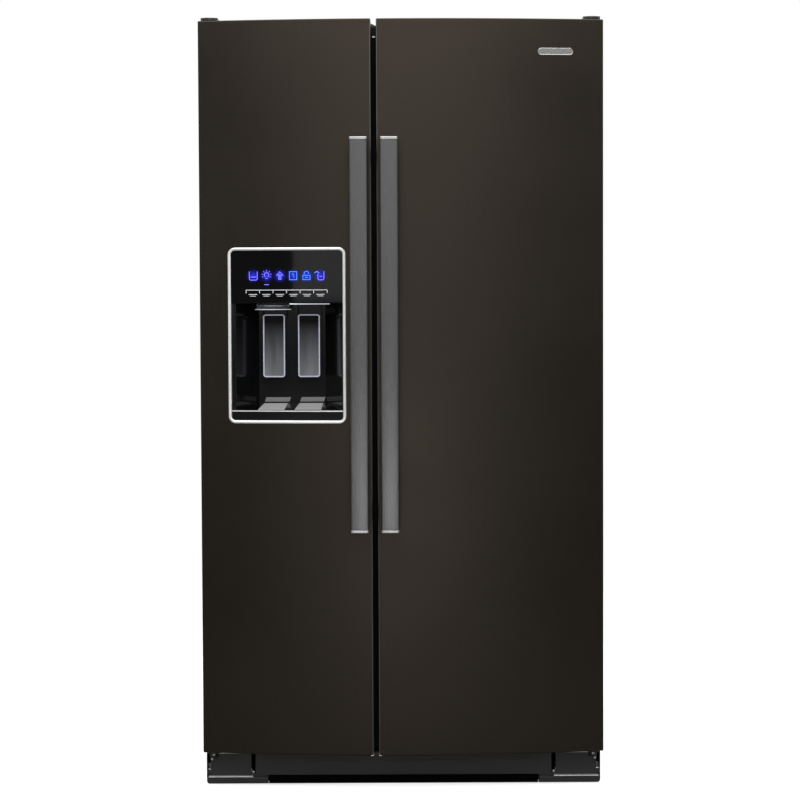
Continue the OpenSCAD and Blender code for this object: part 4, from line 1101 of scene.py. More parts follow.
def fill_symbol(ink, w):
    cup = [(-3.4, 3.4), (-3.4, -5.5), (-1.6, -7.5), (5.4, -7.5), (7.2, -5.5), (7.2, 7.5)]
    ink.line([(u * MM, v * MM) for u, v in cup], w)
    ink.line([(-9.4 * MM, 4.8 * MM), (-5.2 * MM, 7.4 * MM), (-1.0 * MM, 4.8 * MM)], w)
    ink.line([(-0.6 * MM, -1.6 * MM), (4.4 * MM, -1.6 * MM)], w * 0.8)


SYMBOLS = (glass_symbol, lamp_symbol, fast_symbol, cube_symbol, lock_symbol, fill_symbol)


@builder
class FRIDGE_OT_control_panel(bpy.types.Operator):
    """Bowed black glass panel with lit symbols and a plain legend line"""

    bl_idname = "fridge.control_panel"
    bl_label = "Control Panel"

    def execute(self, context):
        bow, s = Bow(), dispenser()
        x, z_open = opening()
        z = (high("dispenser_housing").z - 0.0025, z_open[1])
        gap, raised, deep, corner = 0.0003, 0.0004, 0.0112, s.corner - 0.0006
        x = (x[0] + gap, x[1] - gap)
        lip = 0.003
        columns = 26
        rings = []
        for i in range(5):
            a = math.pi / 2 * i / 4
            rings.append((z[0] + lip * (1 - math.cos(a)), lip * (1 - math.sin(a)), 0.0))
        for i in range(7):
            a = math.pi / 2 * i / 6
            rings.append((z[1] - gap - corner + corner * math.sin(a), 0.0, corner * (1 - math.cos(a))))
        points = []
        for height, sink, narrow in rings:
            row = []
            for c in range(columns + 1):
                px = x[0] + narrow + (x[1] - x[0] - 2 * narrow) * c / columns
                row.append((px, bow.y(px) - raised + sink, height))
            points.append(row)
        bm = bmesh.new()
        loft(bm, points, closed=False, caps=False)
        thicken(bm, deep)
        obj = piece("control_glass", bm, finish("black_glass"), "freezer_door", 40.0)
        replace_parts(obj, "dispenser_panel")
        self.symbols(bow, s, (x[0] + x[1]) / 2, z[1], raised)
        return {"FINISHED"}

    def symbols(self, bow, s, middle, top, raised):
        """Lit symbols, the light round them, and a legend line of six open cells with plain dashes."""
        glow = symbol_material(middle, s)
        first = middle - s.symbol_pitch * 2.5
        height = top - s.symbol_drop
        bm_all = bmesh.new()
        for i, draw in enumerate(SYMBOLS):
            ink = Inlay(bow, first + s.symbol_pitch * i, height, raised + 0.0002, scale=s.symbol_size)
            draw(ink, s.stroke / s.symbol_size)
            mesh = bpy.data.meshes.new("symbol")
            ink.bm.to_mesh(mesh)
            ink.bm.free()
            bm_all.from_mesh(mesh)
            bpy.data.meshes.remove(mesh)
        piece("lit_symbols", bm_all, glow, "freezer_door", 30.0)
        self.halos(bow, first, height, s, raised)
        cell, legend_z, line = 0.0305, top - s.legend_drop, 0.0013
        legend = Inlay(bow, middle - cell * 3, legend_z, raised + 0.0001, 0.0001)
        lengths = 36
        for i in range(lengths):
            legend.line([(cell * 6 * i / lengths, 0), (cell * 6 * (i + 1) / lengths, 0)], line)
        for i in range(7):
            legend.line([(cell * i, 0), (cell * i, -0.0072)], line)
        for i in range(6):
            for j, share in enumerate((0.62, 0.44)):
                half = cell * share / 2
                mid, level = cell * (i + 0.5), -0.0098 - 0.0038 * j
                legend.line([(mid - half, level), (mid + half, level)], 0.0012)
        marks = surface(
            "legend_marks", (0.6, 0.6, 0.62), 0.5, FINE, 0.0, 0.2, 0.05, 0.0, 60.0,
            Emission_Color=(0.8, 0.8, 0.85, 1.0), Emission_Strength=0.16,
        )
        piece("legend_line", legend.bm, marks, "freezer_door", 30.0)

    def halos(self, bow, first, height, s, raised):
        """A fading disc of light behind each symbol."""
        bm = bmesh.new()
        uv = bm.loops.layers.uv.new("halo")
        sides, rings, radius = 28, 4, 0.0180
        for i in range(len(SYMBOLS)):
            cx = first + s.symbol_pitch * i
            rows = []
            for r in range(rings + 1):
                reach = radius * r / rings
                row = []
                for k in range(sides):
                    a = 2 * math.pi * k / sides
                    px = cx + reach * math.cos(a)
                    row.append(((px, bow.y(px) - raised - 0.00012, height + reach * math.sin(a)), r / rings, a))
                rows.append(row)
            centre = bm.verts.new((cx, bow.y(cx) - raised - 0.00012, height))
            verts = [[bm.verts.new(p[0]) for p in row] for row in rows[1:]]
            for k in range(sides):
                m = (k + 1) % sides
                face = bm.faces.new((centre, verts[0][k], verts[0][m]))
                for loop, spot in zip(face.loops, (None, rows[1][k], rows[1][m])):
                    loop[uv].uv = (0, 0) if spot is None else (spot[1] * math.cos(spot[2]), spot[1] * math.sin(spot[2]))
                for r in range(len(verts) - 1):
                    face = bm.faces.new((verts[r][k], verts[r + 1][k], verts[r + 1][m], verts[r][m]))
                    spots = (rows[r + 1][k], rows[r + 2][k], rows[r + 2][m], rows[r + 1][m])
                    for loop, spot in zip(face.loops, spots):
                        loop[uv].uv = (spot[1] * math.cos(spot[2]), spot[1] * math.sin(spot[2]))
        piece("symbol_halos", bm, halo_material(), "freezer_door", 30.0, outward=False)


@builder
class FRIDGE_OT_dispenser_recess(bpy.types.Operator):
    """Paddles, ice chute lip, lamp and drip tray of the dispenser"""

    bl_idname = "fridge.dispenser_recess"
    bl_label = "Dispenser Recess"

    def execute(self, context):
        for name in ("ice_paddle", "water_paddle"):
            self.paddle(name)
        self.chute_lip()
        self.side_filler()
        self.lamp()
        self.tray()
        return {"FINISHED"}

    def side_filler(self):
        """A strip that closes the gap between the frame and the slanted outer wall of the recess."""
        bow = Bow()
        x_open, z_open = opening()
        sunk, wide, thick = 0.0092, 0.0098, 0.002
        front = bow.y(x_open[0]) + sunk
        bm = bmesh.new()
        top = high("dispenser_housing").z - 0.001
        x, z = (x_open[0] - 0.001, x_open[0] + wide), (z_open[0] + 0.0005, top)
        soft_box(bm, x, (front, front + thick), z, 0.0012, 0.0008, "x")
        piece("recess_side_strip", bm, finish("recess_plastic"), "freezer_door", 30.0)

    def paddle(self, name):
        """A smoked lens in a pale clear rim, on two pins."""
        s = dispenser()
        a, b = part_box(name)
        pin = 0.0035
        x, z = (a.x + pin, b.x - pin), (a.z, b.z)
        y = (a.y, b.y)
        bm = bmesh.new()
        rings = []
        # Shares of the rim's width and of the paddle's thickness, once round the rim.
        section = (
            (0.0, 0.15), (0.0, 0.85), (0.12, 1.0), (0.88, 1.0), (1.0, 0.85), (1.0, 0.15), (0.88, 0.0), (0.12, 0.0),
        )
        for share, deep in section:
            inset = share * s.paddle_rim
            outline = rounded_rect((x[0] + inset, x[1] - inset), (z[0] + inset, z[1] - inset), 0.0062 - inset, 6)
            rings.append([(u, y[0] + deep * (y[1] - y[0]), v) for u, v in outline])
        loop_loft(bm, rings)
        pivot_z = z[1] - 0.006
        for start, end in ((x[0] - pin, x[0] + 0.001), (x[1] - 0.001, x[1] + pin)):
            rod(bm, (start, (y[0] + y[1]) / 2, pivot_z), (end, (y[0] + y[1]) / 2, pivot_z), 0.002, 14)
        rim = piece(name + "_rim", bm, finish("paddle_plastic"), name, 35.0)
        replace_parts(rim, name)
        inset = s.paddle_rim - 0.0004
        bm = bmesh.new()
        steps = 8
        rings = []
        for i in range(steps + 1):
            h = z[0] + inset + (z[1] - z[0] - 2 * inset) * i / steps
            bulge = 0.0012 * math.sin(math.pi * i / steps)
            half = (x[1] - x[0]) / 2 - inset
            mid = (x[0] + x[1]) / 2
            front = [(mid + half * k, y[0] + 0.002 - bulge * (1 - k * k), h) for k in (-1, -0.6, -0.2, 0.2, 0.6, 1)]
            back = [(mid + half, y[1] - 0.0012, h), (mid - half, y[1] - 0.0012, h)]
            rings.append(front + back)
        loft(bm, rings)
        if "paddle_lens" not in _made:
            _made["paddle_lens"] = painted_glow_lens_material()
        piece(name + "_lens", bm, _made["paddle_lens"], name, 35.0)

    def chute_lip(self):
        """The clear funnel end that shows under the panel in front of the ice paddle."""
        a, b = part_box("ice_chute")
        panel = high("dispenser_housing").z - 0.0025
        mid, half = (a.x + b.x) / 2 + 0.001, 0.036
        top_y, deep = a.y - 0.004, 0.044
        steps = 14
        rings = []
        for drop, grow in ((-0.001, 0.0), (-0.006, 0.0005), (-0.0105, 0.002), (-0.0135, 0.004)):
            outer, inner = [], []
            for i in range(steps + 1):
                a_turn = math.pi * (1 + i / steps)
                for row, shrink in ((outer, 0.0), (inner, 0.0022)):
                    row.append(
                        (
                            mid + (half + grow - shrink) * math.cos(a_turn),
                            top_y + deep / 2 + (deep / 2 + grow - shrink) * math.sin(a_turn) * 0.8,
                            panel + drop,
                        )
                    )
            rings.append(outer + list(reversed(inner)))
        bm = bmesh.new()
        loft(bm, rings)
        piece("ice_chute_lip", bm, finish("smoke_plastic"), "freezer_door", 50.0)
        self.chute_rims(mid, half, top_y, deep, panel)

    def chute_rims(self, mid, half, top_y, deep, panel):
        """Frosted beads along the funnel's lower edge and round its neck, which glow with a painted highlight of the
        lamp's light they catch.
        """
        bm = bmesh.new()
        for drop, grow, bead in ((-0.0138, 0.0042, 0.0009), (-0.0056, 0.0006, 0.0005)):
            path = []
            steps = 20
            for i in range(steps + 1):
                turn = math.pi * (1 + i / steps)
                path.append((
                    mid + (half + grow) * math.cos(turn),
                    top_y + deep / 2 + (deep / 2 + grow) * math.sin(turn) * 0.8,
                    panel + drop,
                ))
            rings = []
            for i, spot in enumerate(path):
                ahead = Vector(path[min(i + 1, steps)]) - Vector(path[max(i - 1, 0)])
                turn = ahead.to_track_quat("Z", "Y")
                rings.append([
                    Vector(spot) + turn @ Vector((bead * math.cos(a), bead * math.sin(a), 0))
                    for a in (math.pi * k / 4 for k in range(8))
                ])
            loft(bm, rings)
        # The beads' emission is a painted highlight of the recess lamp's light.
        bead_glow = surface(
            "chute_bead", (0.55, 0.56, 0.6), 0.3, FINE, 0.0, 0.05, 0.04, 0.0, 20.0,
            Emission_Color=(0.8, 0.82, 0.95, 1.0), Emission_Strength=0.28,
        )
        piece("ice_chute_beads", bm, bead_glow, "freezer_door", 60.0)

    def rear_light_patches(self, mid, deck, b):
        """Two dim glowing patches at the foot of the recess's back, in line with the tray's inserts: painted light, not
        lamps.
        """
        bm = bmesh.new()
        back = b.y + 0.0006
        foot, tall, lean = deck(b.y) + 0.0018, 0.0105, 0.0035
        for middle, half in ((mid - 0.0305, 0.0285), (mid + 0.0500, 0.0275)):
            rings = []
            for y, inset in ((back - 0.0009, 0.0005), (back - 0.0004, 0.0), (back + 0.0004, 0.0)):
                rings.append([
                    (middle - half + inset, y, foot + inset), (middle + half - inset, y, foot + inset),
                    (middle + half + lean - inset, y, foot + tall - inset),
                    (middle - half + lean + inset, y, foot + tall - inset),
                ])
            loft(bm, rings)
        # Painted light: a faint emission stands in for light falling on the back of the recess.
        painted_light = surface(
            "rear_painted_light", (0.06, 0.06, 0.06), 0.3, LEVEL_BRUSH, 0.0, 0.05, 0.05, 0.0, 20.0,
            Emission_Color=(1.0, 1.0, 1.0, 1.0), Emission_Strength=0.085,
        )
        piece("recess_rear_light_patches", bm, painted_light, "freezer_door", 30.0)

    def deck(self, bow, a, b, x_open, deck):
        """The drip tray: an upright front under the opening's line and a glossy deck that rises to the back."""
        columns, wall = 26, 0.0006
        x = (x_open[0] + wall, x_open[1] - wall)
        back_x = self.back_reach(b)
        rings = []
        for c in range(columns + 1):
            share = c / columns
            px = x[0] + (x[1] - x[0]) * share
            front = bow.y(px) + 0.003
            end_x = back_x[0] + (back_x[1] - back_x[0]) * share
            straight = low("dispenser_bezel").y + 0.030
            ring = [(px, front, a.z), (px, front, b.z - 0.0006), (px, front + 0.0006, b.z)]
            steps = 6
            for i in range(steps + 1):
                y_at = straight + (b.y - 0.0006 - straight) * i / steps
                lean = max(0.0, i / steps)
                x_at = px + (end_x - px) * lean
                ring.append((x_at, max(y_at, front + 0.001), deck(max(y_at, front + 0.001))))
            ring += [(end_x, b.y - 0.0006, a.z)]
            rings.append(ring)
        bm = bmesh.new()
        loft(bm, rings)
        obj = piece("drip_tray_deck", bm, finish("tray_plastic"), "freezer_door", 30.0)
        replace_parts(obj, "drip_tray")

    def back_reach(self, b):
        """The x range of the drip tray's back edge."""
        mesh = frame["nodes"]["drip_tray"].data
        rear = [v.co.x for v in mesh.vertices if v.co.y > b.y - 0.0005]
        return min(rear), max(rear)

    def lamp(self):
        """A small lit bar under the panel's edge."""
        a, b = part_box("dispenser_housing")
        mid = (a.x + b.x) / 2
        panel = b.z - 0.0025
        x = (mid + 0.004, mid + 0.094)
        bm = bmesh.new()
        front = low("drip_tray").y + 0.006
        soft_box(bm, x, (front, front + 0.006), (panel - 0.0022, panel + 0.0006), 0.0012, 0.0006, "x")
        mat = lamp_material("recess_lamp_light", (0.82, 0.86, 1.0), 0.4)
        piece("recess_lamp", bm, mat, "freezer_door", 40.0)

    def tray(self):
        """Two slotted inserts on the drip tray whose glow is a painted reflection, and the bright line along its front.
        """
        bow = Bow()
        a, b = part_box("drip_tray")
        x_open, _ = opening()
        mid = (a.x + b.x) / 2
        bm = bmesh.new()
        deck_front, deck_rise = a.y + 0.012, 0.0115
        depth = b.y - 0.0006 - deck_front

        def deck(y):
            return b.z + 0.0004 + deck_rise * max(0.0, y - deck_front) / depth

        self.deck(bow, a, b, x_open, deck)
        for near, far in ((mid - 0.0385, mid - 0.0325), (mid + 0.0445, mid + 0.0485)):
            y = (deck_front + 0.012, b.y - 0.012)
            bars, share = 11, 0.86
            pitch = (y[1] - y[0]) / bars
            for i in range(bars):
                start = y[0] + pitch * i
                shift = (i + 0.5) / bars
                middle = near + (far - near) * shift
                half = 0.030 - 0.003 * shift
                rings = []
                for end, inset in ((-half, 0.0004), (-half + 0.0004, 0.0), (half - 0.0004, 0.0), (half, 0.0004)):
                    ring = []
                    for dy, dz in ((0.0, -0.0005), (pitch * share, -0.0005), (pitch * share, 0.0007), (0.0, 0.0007)):
                        y_at = start + dy + math.copysign(inset, pitch * share / 2 - dy)
                        ring.append((middle + end, y_at, deck(y_at) + dz))
                    rings.append(ring)
                loft(bm, rings)
        self.rear_light_patches(mid, deck, b)
        # The inserts' emission is a painted reflection of bright light on the glossy tray, not a finish and not a lamp.
        steel = surface(
            "tray_insert_painted_reflection", (0.2, 0.2, 0.2), 0.35, LEVEL_BRUSH, 0.0, 0.05, 0.05, 0.0, 20.0,
            Emission_Color=(1.0, 1.0, 1.0, 1.0), Emission_Strength=0.15,
        )
        piece("tray_inserts", bm, steel, "freezer_door", 30.0)
        columns, width, proud = 26, 0.0024, 0.0006
        x = (x_open[0] + 0.0008, x_open[1] - 0.0008)
        rings = []
        for c in range(columns + 1):
            px = x[0] + (x[1] - x[0]) * c / columns
            py = bow.y(px)
            section = [(py - proud, 0.0), (py - proud, -width), (py + 0.003, -width), (py + 0.003, 0.0)]
            rings.append([(px, sy, b.z + 0.0012 + dz) for sy, dz in section])
        bm = bmesh.new()
        loft(bm, rings)
        piece("tray_edge_line", bm, finish("bright_trim"), "freezer_door", 30.0)


@builder
class FRIDGE_OT_badge(bpy.types.Operator):
    """A small plain badge near the top of the fridge door"""

    bl_idname = "fridge.badge"
    bl_label = "Badge"

    def execute(self, context):
        bow = Bow()
        middle, height = 0.347, high("fridge_door_skin").z - 0.0735
        wide, tall = 0.080, 0.016
        rings = []
        for proud, inset in ((-0.0004, 0.0), (0.0009, 0.0), (0.0014, 0.0005), (0.0015, 0.0011), (0.0010, 0.0018)):
            outline = rounded_rect(
                (middle - wide / 2 + inset, middle + wide / 2 - inset),
                (height - tall / 2 + inset, height + tall / 2 - inset),
                tall / 2 - inset, 8, 8,
            )
            rings.append([(u, bow.y(u) - proud, v) for u, v in outline])
        bm = bmesh.new()
        loft(bm, rings)
        piece("door_badge", bm, end_metal(), "fridge_door", 30.0)
        return {"FINISHED"}


@builder
class FRIDGE_OT_toe_grille(bpy.types.Operator):
    """Moulded base grille with end boots, ledges and recessed panels"""

    bl_idname = "fridge.toe_grille"
    bl_label = "Toe Grille"

    def execute(self, context):
        a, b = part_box("base_grille")
        out_x = b.x
        half, slot = 0.340, 0.009
        boot_in = half - 0.030
        face = a.y + 0.011
        thick, boot_top, foot = 0.003, 0.0165, a.z
        panel_low = 0.018
        bm = bmesh.new()
        soft_box(bm, (-half, half), (face, face + thick), (panel_low, b.z), 0.0022, 0.0015, "y")
        for i in range(3):
            level = b.z - 0.010 - 0.006 * i
            x = (-half + 0.02, half - 0.02)
            soft_box(bm, x, (face - 0.0008, face + 0.001), (level, level + 0.003), 0.0012, 0.0006, "y", 3)
        for side in (-1, 1):
            self.end(bm, side, out_x, half, slot, boot_in, face, boot_top, foot, panel_low, b.z)
            web = side * 0.2
            y, z = (face + thick - 0.001, b.y), (0.040, b.z - 0.006)
            soft_box(bm, (web - 0.002, web + 0.002), y, z, 0.0008, 0.0006, "y", 3)
        obj = piece("toe_grille", bm, finish("grille_plastic"), "cabinet", 30.0)
        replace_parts(obj, "base_grille")
        self.ledges(out_x, half, slot, a, boot_top)
        self.air_dam(half + slot, face + thick, foot, b.z)
        self.skirts(out_x, face, foot, b)
        return {"FINISHED"}

    def skirts(self, out_x, face, foot, b):
        """Black side skirts from the grille's ends back to the cabinet."""
        bm = bmesh.new()
        for side in (-1, 1):
            x = tuple(sorted((side * (out_x - 0.0006), side * (out_x + 0.0014))))
            soft_box(bm, x, (face + 0.003, b.y), (foot + 0.004, b.z - 0.002), 0.0009, 0.0006, "y", 3)
            x = tuple(sorted((side * (out_x - 0.012), side * (out_x + 0.001))))
            soft_box(bm, x, (face + 0.009, face + 0.011), (foot + 0.008, 0.030), 0.0009, 0.0006, "y", 3)
        piece("base_skirts", bm, finish("roller_plastic"), "cabinet", 30.0)

    def air_dam(self, reach, front, foot, top):
        """A ribbed near-black flap behind the grille, down to just above the floor: painted shade for the dark space
        under the base.
        """
        bm = bmesh.new()
        gap, thick = 0.004, 0.002
        wall = front + gap
        soft_box(bm, (-reach, reach), (wall, wall + thick), (foot + 0.001, top - 0.004), 0.0015, 0.0008, "y", 3)
        # A black strip lying on the floor in front of the flap: a painted shadow on the floor under the base.
        lip_reach = reach - 0.040
        soft_box(bm, (-lip_reach, lip_reach), (front - 0.0135, wall + 0.001), (foot, foot + 0.0016), 0.0008, 0.0005, "z", 3)
        ribs = 24
        for i in range(ribs + 1):
            x = -reach + 0.006 + (2 * reach - 0.012) * i / ribs
            soft_box(bm, (x - 0.001, x + 0.001), (wall - 0.0015, wall + 0.001), (foot + 0.002, 0.017), 0.0008, 0.0005, "y", 3)
        # Painted shade: an almost unreflecting black stands in for the shade under the base.
        painted_shade_black = surface(
            "air_dam_painted_shade", (0.0008, 0.0008, 0.0009), 0.8, FINE, 0.0, 0.15, 0.05, 0.0, 20.0, Specular_IOR_Level=0.05
        )
        piece("air_dam", bm, painted_shade_black, "cabinet", 30.0)

    def end(self, bm, side, out_x, half, slot, boot_in, face, boot_top, foot, panel_low, top):
        """The boot that stands on the floor, the recessed panel above it, and its link to the middle."""

        def span(first, second):
            return tuple(sorted((side * first, side * second)))

        inner = half + slot
        steps, corner = 6, 0.0065
        boot = [(boot_in, foot), (out_x - corner, foot)]
        for i in range(1, steps + 1):
            t = math.pi / 2 * i / steps
            boot.append((out_x - corner + corner * math.sin(t), foot + corner * (1 - math.cos(t))))
        boot += [(out_x, boot_top - 0.001), (out_x - 0.001, boot_top)]
        boot += [(boot_in + 0.001, boot_top), (boot_in, boot_top - 0.001)]
        front, back = face + 0.002 - 0.013, face + 0.005
        rings = []
        for y, inset in ((front, 0.0008), (front + 0.0004, 0.0002), (front + 0.0009, 0.0), (back, 0.0)):
            ring = []
            mid_x, mid_z = (boot_in + out_x) / 2, (foot + boot_top) / 2
            for u, v in boot:
                pull_u, pull_v = math.copysign(inset, mid_x - u), math.copysign(inset, mid_z - v)
                ring.append((side * (u + pull_u), y, v + pull_v))
            rings.append(ring)
        loft(bm, rings)
        deep = (face, face + 0.005)
        soft_box(bm, span(inner, out_x - 0.008), (face + 0.002, deep[1]), (boot_top, top - 0.002), 0.002, 0.001, "y")
        soft_box(bm, span(boot_in, inner), deep, (boot_top - 0.003, panel_low + 0.001), 0.0012, 0.0008, "y")
        soft_box(bm, span(half - 0.004, inner), deep, (panel_low, panel_low + 0.004), 0.0015, 0.001, "y")

    def ledges(self, out_x, half, slot, a, boot_top):
        """Pale edge strips on the boots and along the recessed panels' tops: painted highlights where these edges catch
        the light.
        """
        bm = bmesh.new()
        for side in (-1, 1):
            x = tuple(sorted((side * (half + slot - 0.004), side * (out_x - 0.004))))
            soft_box(bm, x, (a.y + 0.001, a.y + 0.0125), (boot_top - 0.0008, boot_top + 0.0014), 0.001, 0.0006, "x", 3)
            x = tuple(sorted((side * (half + slot + 0.008), side * (out_x - 0.010))))
            lip = high("base_grille").z - 0.0022
            soft_box(bm, x, (a.y + 0.012, a.y + 0.0145), (lip - 0.0018, lip + 0.0004), 0.0007, 0.0005, "x", 3)
        # Painted highlight: a light grey strip stands in for the light these edges catch.
        mat = surface("ledge_painted_highlight", (0.62, 0.62, 0.61), 0.28, LEVEL_BRUSH, 0.4, 0.08, 0.05, 0.0, 20.0)
        piece("grille_ledge_highlights", bm, mat, "cabinet", 30.0)


@builder
class FRIDGE_OT_hardware(bpy.types.Operator):
    """Screws on the back, the covers and the hinges, and the door switch"""

    bl_idname = "fridge.hardware"
    bl_label = "Hardware"

    def execute(self, context):
        back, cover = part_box("cabinet_back"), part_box("rear_access_cover")
        bm = bmesh.new()
        edge, rows, columns = 0.014, 7, 5
        for i in range(rows):
            z = back[0].z + edge + (back[1].z - back[0].z - 2 * edge) * i / (rows - 1)
            for x in (back[0].x + edge, back[1].x - edge):
                screw(bm, (x, back[1].y - 0.0026, z), (0, 1, 0))
        for i in range(1, columns - 1):
            x = back[0].x + edge + (back[1].x - back[0].x - 2 * edge) * i / (columns - 1)
            screw(bm, (x, back[1].y - 0.0026, back[1].z - edge), (0, 1, 0))
        for i in range(columns):
            x = cover[0].x + 0.012 + (cover[1].x - cover[0].x - 0.024) * i / (columns - 1)
            screw(bm, (x, cover[1].y - 0.0002, cover[1].z - 0.012), (0, 1, 0))
        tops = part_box("hinge_covers")
        piece("back_screws", bm, finish("bright_steel"), "cabinet", 25.0)
        bm = bmesh.new()
        for side in (-1, 1):
            screw(bm, (side * (tops[1].x - 0.040), tops[1].y - 0.020, tops[1].z - 0.0022), (0, 0, 1))
        piece("cover_screws", bm, finish("grille_plastic"), "cabinet", 25.0)
        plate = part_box("bottom_hinges")
        bm = bmesh.new()
        for side in (-1, 1):
            pin_x = side * (plate[1].x - 0.016)
            screw(bm, (pin_x, plate[0].y + 0.0068, plate[1].z - 0.019), (0, -1, 0), 0.0034, 0.0016)
            screw(bm, (pin_x + side * 0.004, plate[0].y + 0.0068, plate[1].z - 0.030), (0, -1, 0), 0.0028, 0.0014)
            leg_x = side * 0.3445
            screw(bm, (leg_x, low("base_grille").y + 0.011, 0.0255), (0, -1, 0), 0.0032, 0.0018)
        piece("hinge_screws", bm, finish("bright_steel"), "cabinet", 25.0)
        gap = (high("freezer_door_skin").x + low("fridge_door_skin").x) / 2
        y = low("front_frame").y
        z = high("fridge_door_skin").z - 0.0305
        bm = bmesh.new()
        soft_box(bm, (gap - 0.0032, gap + 0.0032), (y - 0.004, y + 0.0006), (z - 0.0022, z + 0.0022), 0.002, 0.0008, "y")
        piece("door_switch", bm, finish("white_plastic"), "cabinet", 40.0)
        self.gap_cover(gap, y)
        self.corner_trims()
        return {"FINISHED"}

    def gap_cover(self, gap, y):
        """A sloped cover on the cabinet's top edge between the doors."""
        foot, top = high("front_frame").z - 0.001, high("fridge_door_skin").z
        half = 0.0075
        shape = [
            (gap - half, foot), (gap + half, foot), (gap + half - 0.001, foot + 0.002),
            (gap - half + 0.0025, top), (gap - half, top),
        ]
        bm = bmesh.new()
        rings = []
        for depth, inset in ((0.0, 0.0006), (0.0006, 0.0), (0.011, 0.0), (0.0116, 0.0006)):
            middle = (gap - half * 0.5, (foot + top) / 2)
            rings.append([
                (u + math.copysign(inset, middle[0] - u), y + depth, v + math.copysign(inset, middle[1] - v))
                for u, v in shape
            ])
        loft(bm, rings)
        piece("gap_cover", bm, finish("grille_plastic"), "cabinet", 30.0)

    def corner_trims(self):
        """Small bright guards on the lower inner corners of the doors."""
        bow = Bow()
        steel = surface("corner_guard", (0.5, 0.5, 0.5), 0.3, LEVEL_BRUSH, 0.5, 0.06, 0.05, 0.0, 20.0)
        for door, edge, side in (
            ("freezer_door", high("freezer_door_skin").x, -1), ("fridge_door", low("fridge_door_skin").x, 1),
        ):
            foot = low(door + "_skin").z
            face = bow.y(edge)
            x = tuple(sorted((edge + side * 0.0003, edge + side * 0.0062)))
            bm = bmesh.new()
            soft_box(bm, x, (face - 0.0002, face + 0.006), (foot - 0.0004, foot + 0.0012), 0.0007, 0.0005, "x", 3)
            x = tuple(sorted((edge - side * 0.0004, edge + side * 0.0008)))
            soft_box(bm, x, (face + 0.0022, face + 0.008), (foot, foot + 0.0042), 0.0005, 0.0004, "z", 3)
            piece(door + "_corner_guard", bm, steel, door, 30.0)


@builder
class FRIDGE_OT_shelves(bpy.types.Operator):
    """Glass shelves in moulded rims, and round-wire freezer shelves"""

    bl_idname = "fridge.shelves"
    bl_label = "Shelves"

    def execute(self, context):
        boxes = solids("fridge_shelves")
        panes = [b for b in boxes if b[1].y - b[0].y > 0.1]
        glass, rims = bmesh.new(), bmesh.new()
        rim_h, rim_t = 0.016, 0.010
        for a, b in panes:
            soft_box(glass, (a.x + 0.002, b.x - 0.002), (a.y + 0.002, b.y), (a.z + 0.0002, b.z), 0.003, 0.0008)
            front = (a.y - rim_t + 0.004, a.y + 0.006)
            soft_box(rims, (a.x, b.x), front, (b.z - rim_h + 0.003, b.z + 0.003), 0.0028, 0.002, "x")
            soft_box(rims, (a.x + 0.001, b.x - 0.001), (b.y - 0.008, b.y), (a.z - 0.001, b.z + 0.006), 0.002, 0.0015, "x")
            for x in ((a.x, a.x + 0.008), (b.x - 0.008, b.x)):
                soft_box(rims, x, (a.y + 0.004, b.y - 0.004), (a.z + 0.0002, b.z + 0.0025), 0.002, 0.0015, "y")
        pane = piece("shelf_panes", glass, finish("shelf_glass"), "cabinet", 30.0)
        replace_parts(pane, "fridge_shelves")
        piece("shelf_rims", rims, finish("white_plastic"), "cabinet", 30.0)
        s = inside()
        bm = bmesh.new()
        for a, b in solids("freezer_shelves"):
            x, y, z = (a.x + 0.003, b.x - 0.003), (a.y + 0.003, b.y - 0.003), a.z + s.wire
            for i in range(s.wires + 1):
                px = x[0] + (x[1] - x[0]) * i / s.wires
                rod(bm, (px, y[0], z), (px, y[1], z), s.wire, 8, s.wire * 0.4)
            for py in (y[0], (y[0] + y[1]) / 2, y[1]):
                rod(bm, (x[0], py, z + s.wire * 1.8), (x[1], py, z + s.wire * 1.8), s.wire * 1.15, 10, s.wire * 0.4)
            rod(bm, (x[0], y[0], z + 0.015), (x[1], y[0], z + 0.015), s.wire, 10, s.wire * 0.4)
            for px in (x[0], (x[0] + x[1]) / 2, x[1]):
                rod(bm, (px, y[0], z), (px, y[0], z + 0.015), s.wire, 8)
        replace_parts(piece("wire_shelves", bm, finish("white_wire"), "cabinet", 40.0), "freezer_shelves")
        return {"FINISHED"}


def bin_shell(bm, x, y, z, wall, corner, draft=0.004, rim=0.003):
    """An open moulded bin: rounded floor edge, drafted sides, and a rolled rim."""
    fillet = 0.008

    def at(inset, h):
        grow = draft * (1 - (h - z[0]) / (z[1] - z[0]))
        i = inset + grow
        outline = rounded_rect((x[0] + i, x[1] - i), (y[0] + i, y[1] - i), max(corner - inset, 0.002), 5)
        return [(u, v, h) for u, v in outline]

    rings = [at(fillet, z[0]), at(fillet * 0.35, z[0] + fillet * 0.25), at(0.0, z[0] + fillet)]
    rings += [at(0.0, z[1] - rim * 2.2), at(0.0, z[1] - rim), at(0.0, z[1] - 0.0008), at(0.0008, z[1])]
    rings += [at(wall - 0.0008, z[1]), at(wall, z[1] - 0.0008), at(wall, z[0] + wall + fillet)]
    rings += [at(wall + fillet * 0.35, z[0] + wall + fillet * 0.25), at(wall + fillet, z[0] + wall)]
    loft(bm, rings)


